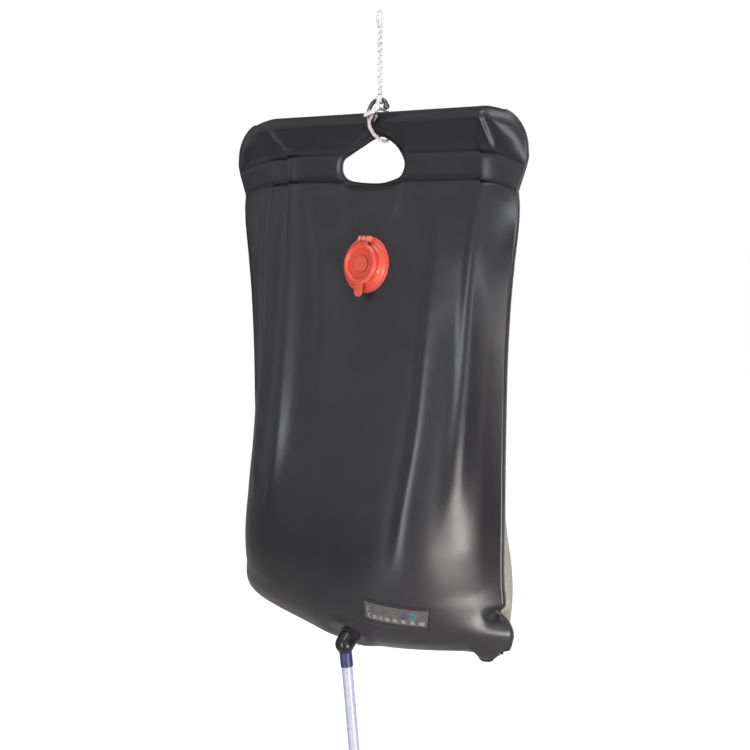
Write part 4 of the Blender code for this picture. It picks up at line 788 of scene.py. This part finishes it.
def outline_distance(outline, points):
    """Distance to an outline in front view, less than zero inside it."""
    flat = points[..., (0, 2)].reshape(-1, 2)
    best = np.full(len(flat), np.inf)
    inside = np.zeros(len(flat), bool)
    for start, end in zip(outline, np.roll(outline, -1, axis=0)):
        span = end - start
        part = np.clip(((flat - start) @ span) / (span @ span), 0, 1)
        on = start + part[:, None] * span
        best = np.minimum(best, np.linalg.norm(flat - on, axis=1))
        crosses = (start[1] > flat[:, 1]) != (end[1] > flat[:, 1])
        rise = end[1] - start[1] if end[1] != start[1] else 1e-12
        inside ^= crosses & (flat[:, 0] < start[0] + (flat[:, 1] - start[1]) * span[0] / rise)
    return np.where(inside, -best, best).reshape(points.shape[:-1])


def grid_normals(points):
    normal = np.cross(*np.gradient(points, axis=(0, 1)))
    normal /= np.linalg.norm(normal, axis=-1)[..., None] + 1e-12
    return np.where(normal[..., 1:2] > 0, -normal, normal)


def column_places(count):
    even = np.linspace(-1, 1, count)
    return 0.6 * even + 0.4 * np.sin(even * math.pi / 2)


def corner_moves(points, inside, share, creased):
    """Pull the seams into the lobes and darts of the filled bag's bottom corners."""
    right = smooth_step(0.8 if creased else 0.94, 1.0, inside)
    level = CHAMBER_HEIGHT * share
    pinch = smooth_step(0.92, 1.0, inside)
    points[..., 0] += right * (LOBE_OUT * hump(level, *LOBE) + UPPER_OUT * hump(level, *UPPER_LOBE))
    points[..., 0] -= NOTCH_IN * pinch * hump(level, *NOTCH)
    dart = hump(level - DART_SLOPE * (1 - inside), DART_AT, DART_REACH) * smooth_step(0.92, 0.985, inside)
    points[..., 1] += creased * DART_DEEP * dart * (1 - smooth_step(0.985, 1.0, inside))
    points[..., 2] -= FOOT_DOWN * smooth_step(0.955, 1.0, share) * hump(inside, 0.9, 0.066, 4)
    return points


def film_grid(belly, folds, columns):
    """The film's outer face in front, as a grid of points in the bag's frame."""
    out, drop, half, full = (value[:, None] for value in film_rows(belly))
    inside = column_places(columns)[None, :]
    front = folds is FRONT_FOLDS
    level = (drop - WELD_DROP) / CHAMBER_HEIGHT
    if front:
        flatter = (np.maximum(full, RIGHT_FULL) - full) * (1 - smooth_step(0.72, 0.94, level))
        low = smooth_step(0.88, 0.98, level)
        full = full + flatter * smooth_step(0, 0.45, inside) + LEFT_FULL * low * (inside < 0)
    else:
        full = full + REAR_FULL * smooth_step(0.72, 0.93, level) * (inside > 0)
    depth = FILM_BASE + (out - FILM_BASE) * (1 - np.abs(inside) ** full)
    across = (half - LIP) * inside
    points = np.stack([across, -depth, film_height(across, half, drop)], -1)
    normal = grid_normals(points)
    free = np.ones_like(across)
    seats = ((FILLER_SEAT, FILLER_TILT, *FILLER_FLAT), (OUTLET_SEAT, -OUTLET_TILT, *OUTLET_FLAT))
    for seat, tilt, reach, width in seats if front else ():
        way = facing(tilt)
        rise = points[..., 2] - seat.z
        away = np.hypot(points[..., 0] - seat.x, rise / way.y)
        blend = 1 - smooth_step(reach, reach + width, away)
        flat = seat.y - rise * way.z / way.y
        points[..., 1] += (flat - points[..., 1]) * blend
        free = free * (1 - blend)
    edge = 1 - smooth_step(0.93, 1.0, np.abs(inside))
    pinch = sum(hump(drop, weld, WELD_GROOVE) for weld in (SLEEVE_HEIGHT, WELD_DROP))
    wide = np.zeros_like(across)
    height = relief(folds, across, drop + wide) * free * edge * (1 - 0.8 * pinch)
    points += normal * height[..., None]
    return corner_moves(points, inside + wide, np.clip(level, 0, 1) + wide, front)


def with_lips(points):
    """Add the flat weld lip round the sides and the bottom."""
    points = np.pad(points, ((0, 1), (1, 1), (0, 0)), "edge")
    points[:, (0, 1, -2, -1), 1] = -FILM_BASE
    points[-2:, :, 1] = -FILM_BASE
    points[:, 0, 0] -= LIP
    points[:, -1, 0] += LIP
    points[-1, :, 2] -= LIP
    return points


def grid_cells(rows, wide):
    """Faces of a grid of points."""
    index = np.arange(rows * wide).reshape(rows, wide)
    return np.stack([index[:-1, :-1], index[:-1, 1:], index[1:, 1:], index[1:, :-1]], -1).reshape(-1, 4)


def cut_cells(points, away):
    """Faces of a grid outside an outline, with the cells that it crosses cut on it."""
    rows, wide = points.shape[:2]
    cells = grid_cells(rows, wide)
    away = np.where(np.abs(away) < CUT_LIMIT, CUT_LIMIT, away).ravel()
    flat = points.reshape(-1, 3)
    outside = away[cells] > 0
    faces = [tuple(cell) for cell in cells[outside.all(1)]]
    added, cuts = [], {}
    for cell in cells[outside.any(1) & ~outside.all(1)]:
        face = []
        for start, end in zip(cell, np.roll(cell, -1)):
            if away[start] > 0:
                face.append(start)
            if (away[start] > 0) != (away[end] > 0):
                edge = (min(start, end), max(start, end))
                if edge not in cuts:
                    part = away[start] / (away[start] - away[end])
                    cuts[edge] = rows * wide + len(added)
                    added.append(flat[start] + part * (flat[end] - flat[start]))
                face.append(cuts[edge])
        if len(face) > 2:
            faces.append(tuple(face))
    return np.concatenate([flat, np.array(added).reshape(-1, 3)]), faces


def make_film(name, belly, folds, columns, side, look_name, body):
    points = with_lips(film_grid(belly, folds, columns))
    away = outline_distance(hole_outline(), points)
    points[..., 1] += (-HOLE_LEVEL - points[..., 1]) * (1 - smooth_step(*HOLE_WELD, np.abs(away)))
    for seat, radius in ((FILLER_SEAT, FILLER_HOLE), (OUTLET_SEAT, OUTLET_HOLE)) if side < 0 else ():
        circle = np.array(arc((seat.x, seat.z), radius, 0, 1, 72))
        away = np.minimum(away, outline_distance(circle[:-1], points))
    if side > 0:
        points[..., 1] *= -1
    flat, faces = cut_cells(points, away)
    used = np.unique(np.concatenate([np.array(face) for face in faces]))
    order = np.full(len(flat), -1)
    order[used] = np.arange(len(used))
    made = mesh_object(name, flat[used] + np.array(BAG_AT), [order[list(face)] for face in faces],
                       look_name, "bag", (body,), angle=None)
    shell = made.modifiers.new("thickness", "SOLIDIFY")
    shell.thickness = FILM
    shell.offset = 1.0 if made.data.polygons[0].normal.y * side < 0 else -1.0
    shell.use_even_offset = False


def make_hole_rim():
    """The raised weld round the hand hole, on the front film."""
    outline = hole_outline()
    ring = np.stack([outline[:, 0], np.full(len(outline), -HOLE_LEVEL - RIM_PROUD), outline[:, 1]], 1)
    ring = np.concatenate([ring, ring[:1]]) + np.array(BAG_AT)
    mesh_object("hole_rim", *tube(ring, HOLE_RIM, 12), "film", "bag")


# Filler

def bevelled(made, width):
    bevel = made.modifiers.new("bevel", "BEVEL")
    bevel.width = width
    bevel.segments = 3
    bevel.limit_method = "ANGLE"
    bevel.angle_limit = math.radians(42)
    bevel.harden_normals = False


def make_filler():
    face = axes(BAG_AT + FILLER_SEAT, facing(FILLER_TILT))
    neck = placed([lathe(rounded(NECK_PROFILE, NECK_ROUND), 96)], face)
    mesh_object("filler_mouth", *neck, "orange", "bag", ("filler_neck",))
    tab = [(-TAB_HALF, -TAB_ROOT), (TAB_HALF, -TAB_ROOT), *arc((0, -TAB_END), TAB_HALF, 1.0, 0.5, 14)]
    lid = placed([lathe(rounded(CAP_PROFILE, CAP_ROUND), 96), slab(tab, CAP_LOW, CAP_THICK),
                  slab(CAP_EAR, CAP_LOW, CAP_THICK)], face @ Matrix.Translation((0, 0, CAP_AT)))
    bevelled(mesh_object("filler_lid", *lid, "orange", "cap", ("filler_cap",)), LID_BEVEL)


# Thermometer

def film_surface():
    """The front film as a tree for rays."""
    points = film_grid(BELLY_FRONT, FRONT_FOLDS, FRONT_COLUMNS) + np.array(BAG_AT)
    return BVHTree.FromPolygons(points.reshape(-1, 3).tolist(), grid_cells(*points.shape[:2]).tolist())


def on_film(tree, corners, across, down, lift):
    """The point over the film at shares of a four-sided field."""
    one, two, three, four = (np.array(corner) for corner in corners)
    flat = (one * (1 - across) + two * across) * (1 - down) + (four * (1 - across) + three * across) * down
    start = Vector((BAG_AT.x + flat[0], RAY_START, BAG_AT.z + flat[1]))
    hit, normal = tree.ray_cast(start, Vector((0, 1, 0)))[:2]
    return hit + (normal if normal.y < 0 else -normal) * lift


def patch(tree, corners, lifts, steps=(24, 10), span=(0, 1, 0, 1)):
    """A thin closed piece that follows the film."""
    places = np.linspace(span[0], span[1], steps[0] + 1)
    levels = np.linspace(span[2], span[3], steps[1] + 1)
    points = [on_film(tree, corners, across, down, lift)
              for lift in lifts for down in levels for across in places]
    index = np.arange(len(levels) * len(places)).reshape(len(levels), -1)
    layer = index.size
    cells = grid_cells(*index.shape)
    border = [*index[0], *index[1:, -1], *index[-1, -2::-1], *index[-2:0:-1, 0]]
    faces = [*cells, *(cells + layer)]
    faces += [(one, two, two + layer, one + layer) for one, two in zip(border, border[1:] + border[:1])]
    return points, faces


def frame_ring(tree, outer, inner, profile, steps=20):
    """A raised border between two four-sided outlines on the film."""
    run = [share / steps for share in range(steps)]
    sides = [(share, 0.0) for share in run] + [(1.0, share) for share in run]
    sides += [(1 - share, 1.0) for share in run] + [(0.0, 1 - share) for share in run]
    points, faces = [], []
    for across, down in sides:
        for share, lift in profile:
            corners = [np.array(one) * (1 - share) + np.array(two) * share for one, two in zip(outer, inner)]
            points.append(on_film(tree, corners, across, down, lift))
    count, around = len(profile), len(sides)
    for step in range(around):
        faces += band(step * count, (step + 1) % around * count, count)
    return points, faces


def stroke(tree, start, end):
    """One straight line of a letter, raised over the film."""
    way = (end - start) / np.linalg.norm(end - start) * STROKE / 2
    side = np.array((-way[1], way[0]))
    ring = (start - way - side, end + way - side, end + way + side, start - way + side)
    shares = [point / np.array(STRIP_SIZE) for point in ring]
    return [on_film(tree, STRIP, *share, lift) for lift in PRINT_LIFT for share in shares], plate_faces(4)


def print_marks(tree, marks):
    """Strokes of letters and numbers: (text, across, down, height) on the strip."""
    parts = []
    for text, across, down, tall in marks:
        wide = tall * 0.46
        pitch = wide + STROKE * 2.2
        left = across * STRIP_SIZE[0] - (pitch * (len(text) - 1) + wide) / 2
        low = down * STRIP_SIZE[1] + tall / 2
        for number, sign in enumerate(text):
            corner = left + number * pitch
            for line in GLYPHS[sign]:
                line = [np.array((corner + x * wide, low - y * tall)) for x, y in line]
                parts += [stroke(tree, start, end) for start, end in zip(line, line[1:])]
    return placed(parts)


def make_thermometer():
    tree = film_surface()
    mesh_object("thermometer_border", *frame_ring(tree, POCKET, STRIP, POCKET_PROFILE), "film", "bag")
    card, cover = patch(tree, STRIP, STRIP_LIFT), patch(tree, STRIP, WINDOW_LIFT)
    mesh_object("thermometer_card", *card, "strip", "bag", ("thermometer_strip",))
    mesh_object("thermometer_cover", *cover, "clear", "bag", ("thermometer_window",))
    pale, dim = SCALE_LETTERS[:], []
    for warmth, place in zip(CELSIUS, NUMBER_PLACES):
        pale.append((str(warmth), place, 0.79, CELSIUS_TALL))
        dim.append((str(warmth * 9 // 5 + 32), place, 0.43, FAHRENHEIT_TALL))
    mesh_object("scale_celsius", *print_marks(tree, pale), "print", "bag", angle=None)
    mesh_object("scale_fahrenheit", *print_marks(tree, dim), "cell", "bag", angle=None)
    mesh_object("scale_lit_cell", *patch(tree, STRIP, CELL_LIFT, (4, 4), LIT_CELL), "teal", "bag")
    mesh_object("scale_faint_cell", *patch(tree, STRIP, CELL_LIFT, (4, 4), FAINT_CELL), "faint", "bag")


# Elbow

def make_elbow():
    """The glossy elbow: a thick barrel, a domed bend and a tapering leg, melted into one skin."""
    bend = ELBOW_AT + ELBOW_WAY * ELBOW_REACH
    leg_end = COLLAR_AT + COLLAR_WAY * LEG_PAST
    length = (leg_end - bend).length
    barrel = [(0, BARREL_FOOT), (ELBOW_RADIUS, BARREL_FOOT), (ELBOW_RADIUS, ELBOW_REACH), (0, ELBOW_REACH)]
    leg = [(0, 0), (ELBOW_RADIUS - LEG_INSET, 0), (LEG_RADIUS, length), (0, length)]
    parts = [placed([lathe(profile, 48)], axes(at, way)) for profile, at, way in (
        (barrel, ELBOW_AT, ELBOW_WAY), (ball(ELBOW_RADIUS), bend, ELBOW_WAY), (leg, bend, leg_end - bend))]
    made = mesh_object("elbow_body", *placed(parts), "gloss", "outlet", ("outlet_elbow",), angle=None)
    skin = made.modifiers.new("skin", "REMESH")
    skin.mode = "VOXEL"
    skin.voxel_size = SKIN_STEP
    skin.use_smooth_shade = True
    soft = made.modifiers.new("soft", "SMOOTH")
    soft.factor = 0.5
    soft.iterations = 14


# Cords and hook

def laid(angles, along):
    """Rope surface: three strands that wind round the axis."""
    return 1 + STRAND_DEPTH * np.cos(3 * angles + 2 * math.pi * along / STRAND_LAY)


def coil(centre, radius, low, high, turns, wire):
    """A cord wound round an upright axis."""
    angles = np.linspace(0, 2 * math.pi * turns, int(turns * 20) + 1)
    heights = np.linspace(low, high, len(angles))
    route = np.stack([centre[0] + radius * np.cos(angles), centre[1] + radius * np.sin(angles), heights], 1)
    return tube(route, wire, 12)


def make_hanging_cord():
    eye = placed([tube(even_route(EYE_ROUTE, 60), CORD_RADIUS, 20, relief=laid), coil((0, 0), *EYE_COIL)])
    mesh_object("hanging_eye", *eye, "cord", "loop", ("cord_eye",), angle=None)
    heights = np.linspace(CORD_TOP, CORD_END, 140)
    strands = []
    for turn in (0, math.pi):
        angles = turn + 2 * math.pi * (heights - CORD_TOP) / CORD_LAY
        route = np.stack([CORD_RADIUS * np.cos(angles), CORD_RADIUS * np.sin(angles), heights], 1)
        strands.append(tube(route, CORD_RADIUS * 1.02, 16, relief=laid))
    rope = mesh_object("hanging_strands", *placed(strands), "cord", "cord", ("hanging_cord",), angle=None)


def make_knot():
    tail = even_route(TAIL_ROUTE, 70)
    narrow = TAIL_RADIUS * (1 - 0.4 * np.linspace(0, 1, 70) ** 8)
    outer, inner = (coil((0, 0), *sizes) for sizes in KNOT_COILS)
    knot = placed([outer, tube(tail, narrow, 20, relief=laid), inner])
    mesh_object("tied_knot", *knot, "cord", "hook", ("cord_knot",), angle=None)


def make_sling():
    sling_route = even_route(SLING_ROUTE, 120)
    # the sling look is the white cord with painted shade in its colour
    sling = mesh_object("sling_rope", *tube(sling_route, SLING_RADIUS, 20, relief=laid), "sling", "bag",
                        ("sling_cord",), angle=None)
    at = (SLING_ROUTE[0][0] / 2 + SLING_ROUTE[-1][0] / 2, SLING_ROUTE[0][1])
    low, high = sorted((SLING_ROUTE[0][2], SLING_ROUTE[-1][2]))
    wraps = [coil(at, radius, low + inset, high - inset, turns, wire)
             for radius, inset, turns, wire in SLING_COILS]
    mesh_object("sling_tie", *placed(wraps), "sling", "bag", ("sling_knot",), angle=None)


def make_hook():
    route = even_route([(x, 0, z) for x, z in HOOK_ROUTE], 120)
    end = placed([lathe(ball(HOOK_BALL), 32)], axes(route[0], (0, 0, 1)))
    mesh_object("steel_hook", *placed([tube(route, HOOK_WIRE, 24), end]), "steel", "hook", ("hanging_hook",))


# Hose

def make_hose():
    hose_points = even_route(HOSE_ROUTE, HOSE_POINTS) + np.array(HOSE_START)
    curve = bpy.data.curves.new("hose_tube", "CURVE")
    curve.dimensions = "3D"
    curve.bevel_depth = HOSE_RADIUS
    curve.bevel_resolution = 8
    curve.use_fill_caps = True
    spline = curve.splines.new("POLY")
    spline.points.add(len(hose_points) - 1)
    for point, at in zip(spline.points, hose_points):
        point.co = (*at, 1.0)
    spline.use_smooth = True
    curve.materials.append(LOOKS["hose"])
    hose = linked("hose_tube", curve)
    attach(hose, "outlet")
    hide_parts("hose")


make_camera()
make_floor()
make_world()
for lamp in LAMPS:
    softbox(*lamp)
make_hose()
make_film("front_film", BELLY_FRONT, FRONT_FOLDS, FRONT_COLUMNS, -1, "film", "front_panel")
make_film("rear_film", BELLY_REAR, REAR_FOLDS, REAR_COLUMNS, 1, "grey", "rear_panel")
make_hole_rim()
make_filler()
make_thermometer()
make_elbow()
make_hanging_cord()
make_knot()
make_sling()
make_hook()

# Looks and bevels of the solids that stay
NODE_LOOKS = {
    "tube": ("hanging_rod",),
    "plastic": ("rod_end_cap_left", "rod_end_cap_right", "hose_clip", "tap_body", "head_bell", "rose_nut"),
    # the cap strap takes the lighter orange, a painted highlight on its ribs
    "pale": ("cap_strap",),
    "film": ("outlet_flange",),
    "rubber": ("outlet_seal_ring", "spindle_ring_front", "spindle_ring_rear", "rose_washer"),
    "steel": ("outlet_snap_ring",),
    "violet": ("hose_collar", "tap_lever"),
    "white": ("tap_spindle", "rose_plate"),
}
BEVELS = {
    "cap_strap": 0.0005, "hose_collar": 0.0006, "outlet_flange": 0.0005, "hose_clip": 0.0004,
    "tap_lever": 0.0006, "tap_body": 0.0004, "rose_nut": 0.0004,
}
for look_name, names in NODE_LOOKS.items():
    for node in names:
        nodes[node].data.materials.clear()
        nodes[node].data.materials.append(LOOKS[look_name])
for node, width in BEVELS.items():
    bevelled(nodes[node], width)
